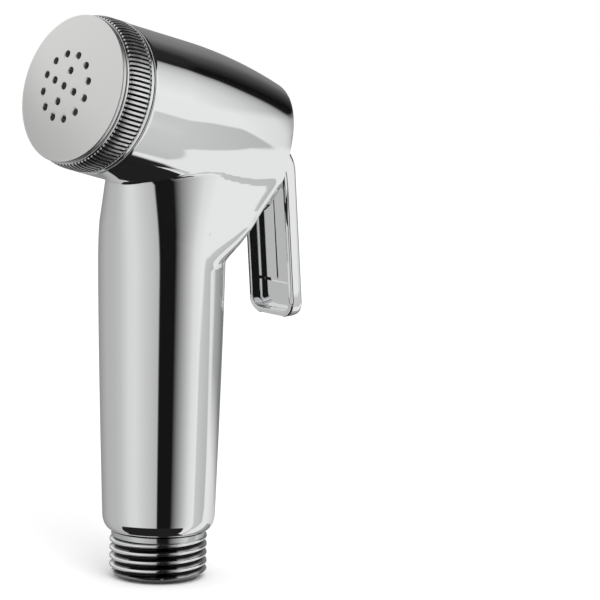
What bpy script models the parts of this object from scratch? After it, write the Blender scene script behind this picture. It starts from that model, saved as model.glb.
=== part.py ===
"""Handheld bidet shower: hollow handle with a tilted head, press valve, thumb lever and spray cap.

Lengths are metres and +Z is up, along the handle. The origin is the centre of the inlet
thread's lower end. The spray faces -Y and the lever is on the +Y side. Places along the
head are given by u, the distance behind the rim of the spray face, and v, the height
above the head's own axis.
"""
import math

import bmesh
import bpy
from mathutils import Matrix, Vector

MM = 0.001
SMALL = 1e-7
GAP = 0.3 * MM                  # clearance between pieces that seat on each other
RUNNING = 0.05 * MM             # radial clearance of the pin in its holes

# Handle
INLET_STUB = 10.0 * MM          # the handle's foot stands this far above the thread's end
HANDLE_FOOT_RADIUS = 11.85 * MM
HANDLE_TOP_RADIUS = 13.45 * MM
HANDLE_FULL_Z = 72.0 * MM       # the handle reaches its full radius here
HANDLE_SWELL = 1.4              # exponent of the swelling from foot to top
FOOT_ROUND_IN = 1.7 * MM
FOOT_ROUND_UP = 3.0 * MM
HANDLE_BORE = 9.2 * MM
HANDLE_BORE_TOP = 94.0 * MM     # the handle's bore runs up into the head's cavity

# Head
HEAD_TILT = math.radians(16.6)
HEAD_Z = 98.34 * MM             # the head's axis crosses the handle's axis at this height
FACE_REACH = 25.77 * MM         # from that crossing to the rim of the spray face
HEAD_RADIUS = 16.3 * MM
HEAD_TOP_DROP = 0.15 * MM
HEAD_TOP_RADIUS = HEAD_RADIUS - HEAD_TOP_DROP
SIDE_TAPER_START = 18.0 * MM
SIDE_TAPER_LENGTH = 33.0 * MM
SIDE_TAPER = 4.4 * MM
TOP_TAPER_START = 26.0 * MM
TOP_TAPER_LENGTH = 25.0 * MM
TOP_TAPER = 2.8 * MM
HEAD_SQUARENESS = 0.4           # how far the section turns from round at the rear face
HEAD_FRONT = 8.3 * MM           # u of the front edge of the outer skin
HEAD_WALL = 3.7 * MM
HEAD_CAVITY = HEAD_RADIUS - HEAD_WALL
SPIGOT_STEP = 2.0 * MM
SPIGOT_RADIUS = HEAD_RADIUS - SPIGOT_STEP
SPIGOT_FRONT = 5.2 * MM         # u of the front end of the spigot that carries the ring
HEAD_FILLET = 3.2 * MM

# Web behind the handle and its flat rear face
REAR_Y = 25.6 * MM              # the rear face passes through this Y at REAR_Z
REAR_Z = 90.0 * MM
REAR_LEAN = math.atan(0.207)
WEB_NARROWING = math.radians(5.5)
WEB_LOW_Y = 23.9 * MM           # a point of the web's lower edge, near the rear face
WEB_LOW_Z = 82.0 * MM
WEB_SLOPE = math.radians(39.8)
WEB_FILLET = 8.0 * MM
WEB_START_Z = 52.0 * MM
WEB_GROWTH = 6.0 * MM           # the section turns from round to square over this growth
WEB_SQUARENESS = 6.0
WEB_SHIFT = 0.35                # share of the growth by which the widest place moves back

# Lever and its slot
PIN_U = 48.5 * MM
PIN_V = 5.6 * MM
PIN_RADIUS = 1.25 * MM
PIN_HALF_LENGTH = 8.6 * MM
PIN_EDGE = 0.3 * MM
PIN_TO_FLOOR = 5.0 * MM
SLOT_FLOOR = PIN_U - PIN_TO_FLOOR        # u of the slot's flat floor
REAR_WALL = 5.0 * MM
CAVITY_DEPTH = SLOT_FLOOR - REAR_WALL    # u of the cavity's rear wall
SLOT_FOOT_Z = 84.5 * MM
SLOT_WIDE_Y = 21.5 * MM         # behind this Y the slot's lower part is as wide as the lever
SLOT_WIDE_Z = 93.0 * MM
SLOT_CLEARANCE = 0.4 * MM
SLOT_FAR = 20.0 * MM            # the cutters reach this far behind the pin
SLOT_ROOF = math.radians(35.0)  # the slot's roof leans down towards the back
LEVER_HALF_WIDTH = 7.0 * MM
LEVER_WALL = 1.4 * MM
LEVER_LOBE = 2.9 * MM           # radius of the ears round the pin
LEVER_FOOT_Z = 52.7 * MM
LEVER_CORNER = 3.5 * MM
LEVER_ROUND = 1.4 * MM
LEVER_DEPTH = 3.6 * MM
CHANNEL_REACH = 15.0 * MM       # the channel's cutter reaches this far in front of the rim
LEVER_BACK_Y = 33.95 * MM        # the lever's back passes through this Y at LEVER_BACK_Z
LEVER_BACK_Z = 61.0 * MM
LEVER_LEAN = math.radians(5.0)
LEVER_BEND_Z = 84.0 * MM        # above this the lever bends in towards its pin
EAR_START_Z = 83.0 * MM
EAR_HALF_WIDTH = 5.3 * MM
NECK_LOW_Z = 86.0 * MM
NECK_HIGH_Z = 91.5 * MM
NOSE_HALF_WIDTH = 2.5 * MM
NOSE_RADIUS = 1.4 * MM
CROSS_RIB_Z = 60.0 * MM
CROSS_RIB_DEPTH = 0.9 * MM
RIB_THICKNESS = 0.9 * MM

# Spray cap
RING_CONE = 0.65 * MM
RING_FRONT_RADIUS = HEAD_RADIUS - RING_CONE    # the plain edge in front is the smallest
RING_LAND_RADIUS = HEAD_RADIUS
RING_CREST = HEAD_RADIUS
TOOTH_DEPTH = 0.4 * MM
RING_ROOT = RING_CREST - TOOTH_DEPTH
RING_FRONT_LAND = 0.6 * MM
RING_REAR_LAND = 0.9 * MM
RING_TEETH = 100
RING_EDGE = 0.2 * MM            # chamfer of the ring's edges
FACE_STEP = 0.75 * MM
FACE_RADIUS = HEAD_RADIUS - FACE_STEP
FACE_FLANGE = 1.0 * MM          # the plate's edge laps the ring's front by this much
FACE_SKIRT = FACE_RADIUS - FACE_FLANGE
FACE_RIM = 0.75 * MM            # u of the flange's back
FACE_DOME = 52.0 * MM           # radius of the domed front
FACE_WALL = 1.5 * MM
FACE_BACK = 0.4 * MM            # u of the plate's flat back
FACE_EDGE = 0.35 * MM
RING_SHOULDER_U = 1.9 * MM
RING_SHOULDER = 0.8 * MM
SHOULDER_STEP = 3.3 * MM
RING_MOUTH = HEAD_RADIUS - SHOULDER_STEP
HOLE_RADIUS = 0.75 * MM
INNER_JET_RING = 3.5 * MM
OUTER_JET_RING = 6.95 * MM
INNER_JETS = 4
OUTER_JETS = 12
INNER_TURN = math.radians(75.0)
OUTER_TURN = math.radians(15.0)
DIFFUSER_FRONT = 4.0 * MM
DIFFUSER_FLOOR = 8.0 * MM
DIFFUSER_WALL = 1.5 * MM
DIFFUSER_PITCH = 7.5 * MM
DIFFUSER_HOLE = 1.6 * MM

# Valve
HOUSING_RADIUS = 10.8 * MM
HOUSING_FRONT = 15.0 * MM
CHAMBER_RADIUS = 5.6 * MM
CAP_BORE = 7.0 * MM
CAP_STEP = 19.0 * MM
CAP_FLANGE = 9.0 * MM
CAP_FRONT = 13.2 * MM
OUTLET_WALL = 1.9 * MM
OUTLET_END = CAVITY_DEPTH - OUTLET_WALL
OUTLET_LENGTH = 3.6 * MM
SEAT_U = OUTLET_END - OUTLET_LENGTH
SEAT_WALL = 1.0 * MM
SEAT_RADIUS = 3.0 * MM
OUTLET_RADIUS = 5.0 * MM
WINDOW_RADIUS = 1.1 * MM
WINDOW_ANGLES = (0, 55, 110, 250, 305)
TAIL_RADIUS = 3.2 * MM
TUBE_RADIUS = 6.0 * MM
TUBE_WALL = 1.2 * MM
TUBE_FOOT = 14.3 * MM
PORT_RADIUS = 4.0 * MM
SOCKET_TOP = 90.5 * MM
PORT_TOP = 95.3 * MM
STEM_RADIUS = 1.5 * MM
STEM_OUT = 5.5 * MM
STEM_END = SLOT_FLOOR + STEM_OUT
STEM_EDGE = 0.4 * MM
STEM_FLANGE = 4.2 * MM
STEM_FLANGE_WALL = 1.2 * MM
STEM_NUB_RADIUS = 2.6 * MM
STEM_NUB_LENGTH = 2.0 * MM
SEAL_RADIUS = 4.6 * MM
SEAL_WALL = 1.4 * MM
SPRING_RADIUS = 3.5 * MM
SPRING_WIRE = 0.4 * MM
SPRING_TURNS = 5
GLAND_FLATS = 9.0 * MM
GLAND_LENGTH = 3.1 * MM
GLAND_WALL = 0.9 * MM

# Seals: mean radius and wire radius
NIPPLE_SEAL_Z = 18.0 * MM
NIPPLE_SEAL_WIRE = 0.5 * MM
TUBE_SEAL_Z = 22.0 * MM
TUBE_SEAL_WIRE = 0.65 * MM
TUBE_TOP_SEAL_WIRE = 0.5 * MM
HOUSING_SEAL_WIRE = 0.65 * MM
CAP_SEAL_STEP = 2.1 * MM
CAP_SEAL_U = CAP_STEP - CAP_SEAL_STEP
CAP_SEAL_WIRE = 0.55 * MM
STEM_SEAL_WIRE = 0.6 * MM

# Inlet thread, G 1/2
INCH = 25.4 * MM
THREADS_PER_INCH = 14
THREAD_PITCH = INCH / THREADS_PER_INCH
THREAD_CREST = 10.35 * MM
THREAD_ROOT = 9.2 * MM
THREAD_LENGTH = 9.0 * MM
THREAD_CHAMFER = 1.5 * MM
NIPPLE_COLLAR = 10.0 * MM
COLLAR_LAP = 0.35 * MM
NIPPLE_BORE = 5.0 * MM
NIPPLE_TOP = 26.0 * MM
STRAINER_RADIUS = 6.7 * MM
STRAINER_DEPTH = 2.2 * MM
STRAINER_WALL = 0.9 * MM
STRAINER_HOLE = 1.2 * MM
STRAINER_PITCH = 3.7 * MM

# How finely the shapes are divided
BODY_SEGMENTS = 34
STRAIGHT_SECTIONS = 4
LEANING_SECTIONS = 4
FAN_ANGLES = (-21, -11, -2, 7, 14, 19, 23, 27, 31, 36, 43, 52, 62)   # degrees, closer at the corner
HEAD_SECTIONS = 3
CORNER_BELOW = 7.5 * MM         # the fan of sections starts this far under the inner corner
CORNER_AHEAD = 1.5 * MM
CORNER_SHARE = 0.42
FAN_LOW = math.radians(30.0)    # lowest section of the web leans this far down at the back
SKIN_STEPS = 22
SKIN_STRIDE = 1.0 * MM
TURNED_STEPS = 32
BODY_STEPS = 40
SPIGOT_STEPS = 44
CAP_STEPS = 32                  # ring and face plate
ROOF_ARC_END = 150             # degrees round the pin
ROOF_STEPS = 6
VALVE_STEPS = 22
PIN_STEPS = 16
THREAD_STEPS = 20
SPRING_STEPS = 12
SEAL_STEPS = 14
DOME_STEPS = 4
SEAL_SIDES = 6

# Sizes that follow from the ones above
FACE_Y = -FACE_REACH * math.cos(HEAD_TILT)
FACE_Z = HEAD_Z + FACE_REACH * math.sin(HEAD_TILT)
RING_REAR = HEAD_FRONT - GAP
RING_BORE = SPIGOT_RADIUS + GAP
RING_COUNTERBORE = FACE_SKIRT + GAP
RING_FRONT = FACE_RIM + GAP
HOUSING_REAR = CAVITY_DEPTH - GAP
TAIL_BORE = TAIL_RADIUS + GAP
TAIL_END = SLOT_FLOOR + 0.7 * MM
STEM_BORE = STEM_RADIUS + GAP / 2
TUBE_SOCKET = TUBE_RADIUS + GAP
TUBE_TOP = SOCKET_TOP - 2 * (TUBE_TOP_SEAL_WIRE + GAP)
SEAL_FRONT = SEAT_U - GAP - SEAL_WALL
STEM_FLANGE_FRONT = SEAL_FRONT - GAP - STEM_FLANGE_WALL
STEM_NUB = STEM_FLANGE_FRONT - STEM_NUB_LENGTH
NIPPLE_SEAL_RADIUS = HANDLE_BORE - NIPPLE_SEAL_WIRE - GAP / 2
TUBE_SEAL_RADIUS = TUBE_RADIUS + TUBE_SEAL_WIRE + GAP
TUBE_SEAL_GROOVE = TUBE_SEAL_RADIUS + TUBE_SEAL_WIRE + GAP
HOUSING_SEAL_RADIUS = TAIL_RADIUS + HOUSING_SEAL_WIRE + GAP
SEAL_POCKET = HOUSING_SEAL_RADIUS + HOUSING_SEAL_WIRE + GAP
SEAL_POCKET_DEPTH = 2 * (HOUSING_SEAL_WIRE + GAP)
CAP_SEAL_RADIUS = CAP_BORE - CAP_SEAL_WIRE - GAP / 2
GLAND_END = SLOT_FLOOR + GLAND_LENGTH + GAP
GLAND_WALL_U = GLAND_END - GLAND_WALL
STEM_SEAL_RADIUS = STEM_RADIUS + STEM_SEAL_WIRE + GAP
SLOT_UPPER_HALF = EAR_HALF_WIDTH + GAP
SLOT_HALF_WIDTH = LEVER_HALF_WIDTH + GAP


def smooth_max(a, b, reach):
    """Larger of two values, with the corner between them rounded over reach."""
    near = max(reach - abs(a - b), 0.0) / reach
    return max(a, b) + near * near * reach / 4


def clamp01(value):
    return min(max(value, 0.0), 1.0)


def on_head(u, v=0.0):
    """Point (y, z) at distance u behind the face and v above the head's axis."""
    y = FACE_Y + u * math.cos(HEAD_TILT) + v * math.sin(HEAD_TILT)
    z = FACE_Z - u * math.sin(HEAD_TILT) + v * math.cos(HEAD_TILT)
    return y, z


PIN_POINT = on_head(PIN_U, PIN_V)


def head_uv(y, z):
    dy = y - FACE_Y
    dz = z - FACE_Z
    u = dy * math.cos(HEAD_TILT) - dz * math.sin(HEAD_TILT)
    v = dy * math.sin(HEAD_TILT) + dz * math.cos(HEAD_TILT)
    return u, v


def handle_radius(z):
    """The handle swells from its foot to its full radius; its lower end is rounded off."""
    below = clamp01((HANDLE_FULL_Z - z) / (HANDLE_FULL_Z - INLET_STUB))
    radius = HANDLE_TOP_RADIUS - (HANDLE_TOP_RADIUS - HANDLE_FOOT_RADIUS) * below ** HANDLE_SWELL
    drop = clamp01((INLET_STUB + FOOT_ROUND_UP - z) / FOOT_ROUND_UP)
    return radius - FOOT_ROUND_IN * (1 - math.sqrt(1 - drop * drop))


def rear_extent(z):
    """How far back the handle or the web reaches at height z, with a fillet between them."""
    web = WEB_LOW_Y + (z - WEB_LOW_Z) / math.tan(WEB_SLOPE)
    return smooth_max(handle_radius(z), web, WEB_FILLET)


def column_form(x, y, z):
    """Signed size of a point against the handle and the web: below zero is inside."""
    radius = handle_radius(z)
    reach = rear_extent(z)
    grown = clamp01((reach - HANDLE_TOP_RADIUS) / WEB_GROWTH)
    widest = WEB_SHIFT * max(0.0, reach - radius)
    if y <= widest:
        return (math.hypot(x / radius, (y - widest) / (radius + widest)) - 1) * radius
    power = 2 + WEB_SQUARENESS * grown
    width = radius - math.tan(WEB_NARROWING) * (y - widest) * grown
    value = (abs(x) / width) ** power + ((y - widest) / (reach - widest)) ** power
    return (value ** (1 / power) - 1) * radius


def head_side_radius(u):
    return HEAD_RADIUS - SIDE_TAPER * max(0.0, (u - SIDE_TAPER_START) / SIDE_TAPER_LENGTH) ** 2


def head_top_radius(u):
    taper = TOP_TAPER * max(0.0, (u - TOP_TAPER_START) / TOP_TAPER_LENGTH) ** 2
    return HEAD_TOP_RADIUS - taper


def head_form(x, y, z):
    """Signed size of a point against the tapering head."""
    u, v = head_uv(y, z)
    side = max(head_side_radius(u), SMALL)
    height = max(head_top_radius(u), SMALL) if v > 0 else HEAD_RADIUS
    power = 2 + HEAD_SQUARENESS * clamp01((u - SIDE_TAPER_START) / SIDE_TAPER_LENGTH) ** 3
    value = (abs(x) / side) ** power + (abs(v) / height) ** power
    return (value ** (1 / power) - 1) * side


def body_form(x, y, z):
    """The outer skin: the head and, up to its axis, the handle with its web."""
    column = max(column_form(x, y, z), head_uv(y, z)[1])
    return -smooth_max(-column, -head_form(x, y, z), HEAD_FILLET)


def skin_distance(centre, direction):
    """Distance from a point inside the body to its skin along a direction."""
    near = 0.0
    far = SKIN_STRIDE
    while body_form(*(centre + direction * far)) < 0:
        near = far
        far += SKIN_STRIDE
    for _ in range(SKIN_STEPS):
        middle = (near + far) / 2
        if body_form(*(centre + direction * middle)) < 0:
            near = middle
        else:
            far = middle
    return near


def section_planes():
    """Centre and lean, in the symmetry plane, of each section of the skin from foot to front."""
    planes = []
    for share in (0, 0.15, 0.4, 0.7, 1):
        planes.append((0.0, INLET_STUB + FOOT_ROUND_UP * share, 0.0))
    low = INLET_STUB + FOOT_ROUND_UP
    for step in range(1, STRAIGHT_SECTIONS + 1):
        planes.append((0.0, low + (WEB_START_Z - low) * step / STRAIGHT_SECTIONS, 0.0))
    front_y = -HANDLE_TOP_RADIUS
    corner_z = HEAD_Z - front_y * math.tan(HEAD_TILT) - HEAD_RADIUS / math.cos(HEAD_TILT)
    for step in range(1, LEANING_SECTIONS + 1):
        share = step / LEANING_SECTIONS
        pivot_z = WEB_START_Z + (corner_z - CORNER_BELOW - WEB_START_Z) * share
        planes.append(fan_plane(front_y, pivot_z, -FAN_LOW * share))
    fan = FAN_LOW + math.pi / 2 - HEAD_TILT
    for angle in [math.radians(turn) for turn in FAN_ANGLES] + [fan - FAN_LOW]:
        share = (angle + FAN_LOW) / fan
        below = CORNER_BELOW * max(0.0, 1 - share / CORNER_SHARE)
        ahead = CORNER_AHEAD * max(0.0, share - CORNER_SHARE) / (1 - CORNER_SHARE)
        pivot_z = corner_z - below + ahead * math.tan(HEAD_TILT)
        planes.append(fan_plane(front_y - ahead, pivot_z, angle))
    start = head_uv(front_y - CORNER_AHEAD, corner_z)[0]
    for step in range(1, HEAD_SECTIONS + 1):
        y, z = on_head(start + (HEAD_FRONT - start) * step / HEAD_SECTIONS)
        planes.append((y, z, math.pi / 2 - HEAD_TILT))
    return planes


def fan_plane(pivot_y, pivot_z, angle):
    """A section through a pivot at the inner corner, risen by angle towards the back."""
    reach = HANDLE_TOP_RADIUS
    return pivot_y + reach * math.cos(angle), pivot_z + reach * math.sin(angle), angle


def make_skin():
    """Rings of vertices laid on the skin and bridged, closed at both ends."""
    bm = bmesh.new()
    rings = []
    for y, z, angle in section_planes():
        ring = bmesh.ops.create_circle(bm, segments=BODY_SEGMENTS, radius=1.0)["verts"]
        centre = Vector((0, y, z))
        back = Vector((0, math.cos(angle), math.sin(angle)))
        for index, vert in enumerate(ring):
            turn = 2 * math.pi * index / BODY_SEGMENTS
            direction = back * math.cos(turn) + Vector((1, 0, 0)) * math.sin(turn)
            vert.co = centre + direction * skin_distance(centre, direction)
        rings.append(ring)
    for lower, upper in zip(rings, rings[1:]):
        for index in range(BODY_SEGMENTS):
            after = (index + 1) % BODY_SEGMENTS
            bm.faces.new((lower[index], lower[after], upper[after], upper[index]))
    bm.faces.new(rings[0])
    bm.faces.new(rings[-1])
    bmesh.ops.recalc_face_normals(bm, faces=bm.faces)
    cut_rear(bm)
    return bm


def cut_rear(bm):
    """Cut the head and the web off at the flat rear face and close the cut."""
    normal = Vector((0, math.cos(REAR_LEAN), -math.sin(REAR_LEAN)))
    upper = [face for face in bm.faces if all(vert.co.z > WEB_START_Z for vert in face.verts)]
    geometry = list({item for face in upper for item in [*face.verts, *face.edges, face]})
    cut = bmesh.ops.bisect_plane(bm, geom=geometry, dist=SMALL, plane_co=(0, REAR_Y, REAR_Z),
                                 plane_no=normal, clear_outer=True)
    edges = [item for item in cut["geom_cut"] if isinstance(item, bmesh.types.BMEdge)]
    bmesh.ops.holes_fill(bm, edges=edges, sides=0)
    bmesh.ops.recalc_face_normals(bm, faces=bm.faces)


def clear_scene():
    for item in list(bpy.data.objects):
        bpy.data.objects.remove(item, do_unlink=True)


def material(name, colour, metallic, roughness):
    mat = bpy.data.materials.get(name) or bpy.data.materials.new(name)
    mat.use_nodes = True
    shader = mat.node_tree.nodes["Principled BSDF"]
    shader.inputs["Base Color"].default_value = (*colour, 1.0)
    shader.inputs["Metallic"].default_value = metallic
    shader.inputs["Roughness"].default_value = roughness
    return mat


def chrome():
    return material("chrome_plate", (0.86, 0.87, 0.88), 1.0, 0.06)


def satin():
    return material("satin_plate", (0.74, 0.74, 0.73), 1.0, 0.3)


def white_plastic():
    return material("white_acetal", (0.85, 0.85, 0.83), 0.0, 0.4)


def black_rubber():
    return material("black_rubber", (0.02, 0.02, 0.02), 0.0, 0.7)


def steel():
    return material("stainless_steel", (0.62, 0.62, 0.62), 1.0, 0.25)


def brass():
    return material("turned_brass", (0.72, 0.55, 0.28), 1.0, 0.3)


def finish(name, bm, mat, place=None):
    """Make the named object from a bmesh that is modelled about its own origin."""
    bmesh.ops.remove_doubles(bm, verts=bm.verts, dist=SMALL)
    bmesh.ops.recalc_face_normals(bm, faces=bm.faces)
    mesh = bpy.data.meshes.new(name)
    bm.to_mesh(mesh)
    bm.free()
    mesh.shade_smooth()
    mesh.set_sharp_from_angle(angle=math.radians(35))
    mesh.materials.append(mat)
    obj = bpy.data.objects.new(name, mesh)
    bpy.context.scene.collection.objects.link(obj)
    if place is not None:
        obj.matrix_world = place
    return obj


def cutter(name, bm, place=None):
    obj = finish(name, bm, chrome(), place)
    obj.hide_render = True
    obj.display_type = "WIRE"
    return obj


def boolean(obj, tool, operation="DIFFERENCE"):
    step = obj.modifiers.new(tool.name, "BOOLEAN")
    step.operation = operation
    step.solver = "EXACT"
    step.object = tool


def head_place(u=0.0):
    """Frame on the head's axis at u: local +Z points back along the axis."""
    y, z = on_head(u)
    return Matrix.Translation((0, y, z)) @ Matrix.Rotation(-math.pi / 2 - HEAD_TILT, 4, "X")


def turned(profile, steps=TURNED_STEPS):
    """Solid turned about Z from (radius, height) points; it closes by itself off the axis."""
    bm = bmesh.new()
    verts = [bm.verts.new((radius, 0, height)) for radius, height in profile]
    edges = [bm.edges.new(pair) for pair in zip(verts, verts[1:])]
    if profile[0][0] > 0 or profile[-1][0] > 0:
        edges.append(bm.edges.new((verts[-1], verts[0])))
    bmesh.ops.spin(bm, geom=verts + edges, cent=(0, 0, 0), axis=(0, 0, 1), angle=2 * math.pi,
                   steps=steps, use_merge=True)
    return bm


def rod(radius, low, high):
    return [(0, low), (radius, low), (radius, high), (0, high)]


def ring_profile(inner, outer, low, high):
    return [(inner, low), (outer, low), (outer, high), (inner, high)]


def o_ring(name, middle_radius, wire_radius, height, place=None):
    """Rubber ring of round section about Z."""
    points = []
    for index in range(SEAL_SIDES):
        turn = 2 * math.pi * index / SEAL_SIDES
        points.append((middle_radius + wire_radius * math.cos(turn),
                       height + wire_radius * math.sin(turn)))
    return finish(name, turned(points, SEAL_STEPS), black_rubber(), place)


def extruded(outline, half_width):
    """Prism of a (y, z) outline, from -half_width to +half_width along X."""
    bm = bmesh.new()
    verts = [bm.verts.new((-half_width, y, z)) for y, z in outline]
    face = bm.faces.new(verts)
    moved = bmesh.ops.extrude_face_region(bm, geom=[face])["geom"]
    top = [item for item in moved if isinstance(item, bmesh.types.BMVert)]
    bmesh.ops.translate(bm, vec=(2 * half_width, 0, 0), verts=top)
    bmesh.ops.recalc_face_normals(bm, faces=bm.faces)
    return bm


def arc(centre, radius, start, end, steps):
    """Points (y, z) along an arc, angles in degrees from +Y towards +Z."""
    points = []
    for index in range(steps + 1):
        turn = math.radians(start + (end - start) * index / steps)
        points.append((centre[0] + radius * math.cos(turn), centre[1] + radius * math.sin(turn)))
    return points


def loft(bm, rings):
    """Join closed loops of vertices one after another and close both ends."""
    for lower, upper in zip(rings, rings[1:]):
        count = len(lower)
        for index in range(count):
            after = (index + 1) % count
            bm.faces.new((lower[index], lower[after], upper[after], upper[index]))
    bm.faces.new(rings[0])
    bm.faces.new(rings[-1])
    bmesh.ops.recalc_face_normals(bm, faces=bm.faces)


def slot_outline():
    """Side view of the slot that the lever's ears swing in."""
    radius = LEVER_LOBE + SLOT_CLEARANCE
    roof = arc(PIN_POINT, radius, 90 - math.degrees(SLOT_ROOF), ROOF_ARC_END, ROOF_STEPS)
    floor_top = on_head(SLOT_FLOOR, PIN_V + radius)
    foot_z = SLOT_FOOT_Z + GAP
    foot_v = (foot_z - FACE_Z + SLOT_FLOOR * math.sin(HEAD_TILT)) / math.cos(HEAD_TILT)
    far = PIN_POINT[0] + SLOT_FAR
    roof_end = roof[0][1] - (far - roof[0][0]) * math.tan(SLOT_ROOF)
    return [(far, roof_end)] + roof + [floor_top, on_head(SLOT_FLOOR, foot_v), (far, foot_z)]


def cut_slot(body):
    """The slot is narrow round the pin and as wide as the lever at its lower end."""
    boolean(body, cutter("slot_upper_cut", extruded(slot_outline(), SLOT_UPPER_HALF)))
    far = PIN_POINT[0] + SLOT_FAR
    wide = [(SLOT_WIDE_Y, SLOT_WIDE_Z), (SLOT_WIDE_Y, SLOT_FOOT_Z), (far, SLOT_FOOT_Z), (far, SLOT_WIDE_Z)]
    boolean(body, cutter("slot_lower_cut", extruded(wide, SLOT_HALF_WIDTH)))


def make_body():
    """One hollow moulding: handle, head, web with the lever's slot, and the ring's spigot."""
    body = finish("body", make_skin(), chrome())
    spigot = turned(rod(SPIGOT_RADIUS, SPIGOT_FRONT, HEAD_FRONT + MM), SPIGOT_STEPS)
    boolean(body, cutter("spigot_form", spigot, head_place()), "UNION")
    pocket_end = CAVITY_DEPTH + SEAL_POCKET_DEPTH
    cavity = [(0, -MM), (HEAD_CAVITY, -MM), (HEAD_CAVITY, CAVITY_DEPTH), (SEAL_POCKET, CAVITY_DEPTH),
              (SEAL_POCKET, pocket_end), (TAIL_BORE, pocket_end), (TAIL_BORE, SLOT_FLOOR + MM),
              (0, SLOT_FLOOR + MM)]
    boolean(body, cutter("cavity_cut", turned(cavity, BODY_STEPS), head_place()))
    boolean(body, cutter("bore_cut", turned(rod(HANDLE_BORE, -MM, HANDLE_BORE_TOP), BODY_STEPS)))
    cut_slot(body)
    hole = turned(rod(PIN_RADIUS + RUNNING, 0, 2 * HEAD_RADIUS), PIN_STEPS)
    side = Matrix.Translation((PIN_HALF_LENGTH + GAP, *PIN_POINT)) @ Matrix.Rotation(-math.pi / 2, 4, "Y")
    boolean(body, cutter("pin_cut", hole, side))
    return body


def lever_outer(z):
    """Y of the lever's back at height z, in from which the wall is measured."""
    rise = clamp01((z - LEVER_BEND_Z) / (PIN_POINT[1] - LEVER_BEND_Z))
    straight = LEVER_BACK_Y - (z - LEVER_BACK_Z) * math.tan(LEVER_LEAN)
    target = PIN_POINT[0] + LEVER_LOBE
    return straight + (target - straight) * rise * rise


def lever_rim(z):
    """Y of the open edge of the channel at height z."""
    rise = clamp01((z - EAR_START_Z) / (PIN_POINT[1] - EAR_START_Z))
    depth = LEVER_DEPTH + (2 * LEVER_LOBE - LEVER_DEPTH) * rise
    return lever_outer(z) - depth


def lever_half_width(z):
    """Half-width at height z: rounded at the foot and narrower at the ears."""
    drop = clamp01((LEVER_FOOT_Z + LEVER_CORNER - z) / LEVER_CORNER)
    corner = LEVER_CORNER * (1 - math.sqrt(1 - drop * drop))
    neck = clamp01((z - NECK_LOW_Z) / (NECK_HIGH_Z - NECK_LOW_Z))
    return LEVER_HALF_WIDTH - corner - (LEVER_HALF_WIDTH - EAR_HALF_WIDTH) * neck


def lever_section(bm, z):
    """One horizontal section of the lever's hull, rounded along its back."""
    half = lever_half_width(z)
    back = lever_outer(z)
    front = lever_rim(z)
    above = z - PIN_POINT[1]
    if above > 0:
        reach = math.sqrt(max(LEVER_LOBE ** 2 - above * above, 0.0))
        back = PIN_POINT[0] + reach
        front = PIN_POINT[0] - reach
    drop = clamp01((LEVER_FOOT_Z + LEVER_ROUND - z) / LEVER_ROUND)
    back -= LEVER_ROUND * (1 - math.sqrt(1 - drop * drop))
    radius = min(LEVER_ROUND, (back - front) / 2)
    points = [(-half, front)]
    for sign, start in ((-1, 180), (1, 90)):
        for step in range(4):
            turn = math.radians(start - 30 * step)
            points.append((sign * (half - radius) + radius * math.cos(turn),
                           back - radius + radius * math.sin(turn)))
    points.append((half, front))
    return [bm.verts.new((x, y - PIN_POINT[0], z - PIN_POINT[1])) for x, y in points]


def lever_levels():
    foot = [LEVER_FOOT_Z + share * LEVER_CORNER for share in (0, 0.1, 0.25, 0.5, 1)]
    straight = [foot[-1] + (LEVER_BEND_Z - foot[-1]) * step / 3 for step in (1, 2, 3)]
    bend = [LEVER_BEND_Z + (PIN_POINT[1] - LEVER_BEND_Z) * step / 6 for step in range(1, 7)]
    lobe = [PIN_POINT[1] + LEVER_LOBE * math.sin(math.radians(turn)) for turn in (30, 55, 75)]
    return foot + straight + bend + lobe


def lever_channel():
    """Side view of the hollow between the lever's walls."""
    foot_z = LEVER_FOOT_Z + LEVER_WALL
    top_z = PIN_POINT[1] + LEVER_LOBE + MM
    heights = [z for z in lever_levels() if foot_z < z <= PIN_POINT[1]]
    wall = [(lever_outer(z) - LEVER_WALL - PIN_POINT[0], z - PIN_POINT[1]) for z in [foot_z] + heights]
    front = lever_rim(foot_z) - PIN_POINT[0] - CHANNEL_REACH
    return wall + [(wall[-1][0], top_z - PIN_POINT[1]), (front, top_z - PIN_POINT[1]),
                   (front, foot_z - PIN_POINT[1])]


def make_lever():
    """Channel-shaped thumb lever with two ears on the pin, ribs, and the nose that works the stem."""
    bm = bmesh.new()
    loft(bm, [lever_section(bm, z) for z in lever_levels()])
    place = Matrix.Translation((0, *PIN_POINT))
    lever = finish("lever", bm, chrome(), place)
    channel = lever_channel()
    boolean(lever, cutter("channel_cut", extruded(channel, EAR_HALF_WIDTH - LEVER_WALL), place))
    low = [point for point in channel if point[1] < NECK_LOW_Z - PIN_POINT[1] + SMALL]
    low_top = max(point[1] for point in low)
    front = channel[-1][0]
    wide = [point for point in low if point[0] > 0] + [(front, low_top), (front, channel[-1][1])]
    boolean(lever, cutter("channel_wide_cut", extruded(wide, LEVER_HALF_WIDTH - LEVER_WALL), place))
    boolean(lever, cutter("nose_form", extruded(nose_outline(), NOSE_HALF_WIDTH), place), "UNION")
    boolean(lever, cutter("rib_form", rib_form(), place), "UNION")
    hole = turned(rod(PIN_RADIUS + RUNNING, -EAR_HALF_WIDTH - MM, EAR_HALF_WIDTH + MM), PIN_STEPS)
    boolean(lever, cutter("lever_pin_cut", hole, place @ Matrix.Rotation(math.pi / 2, 4, "Y")))
    return lever


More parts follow.
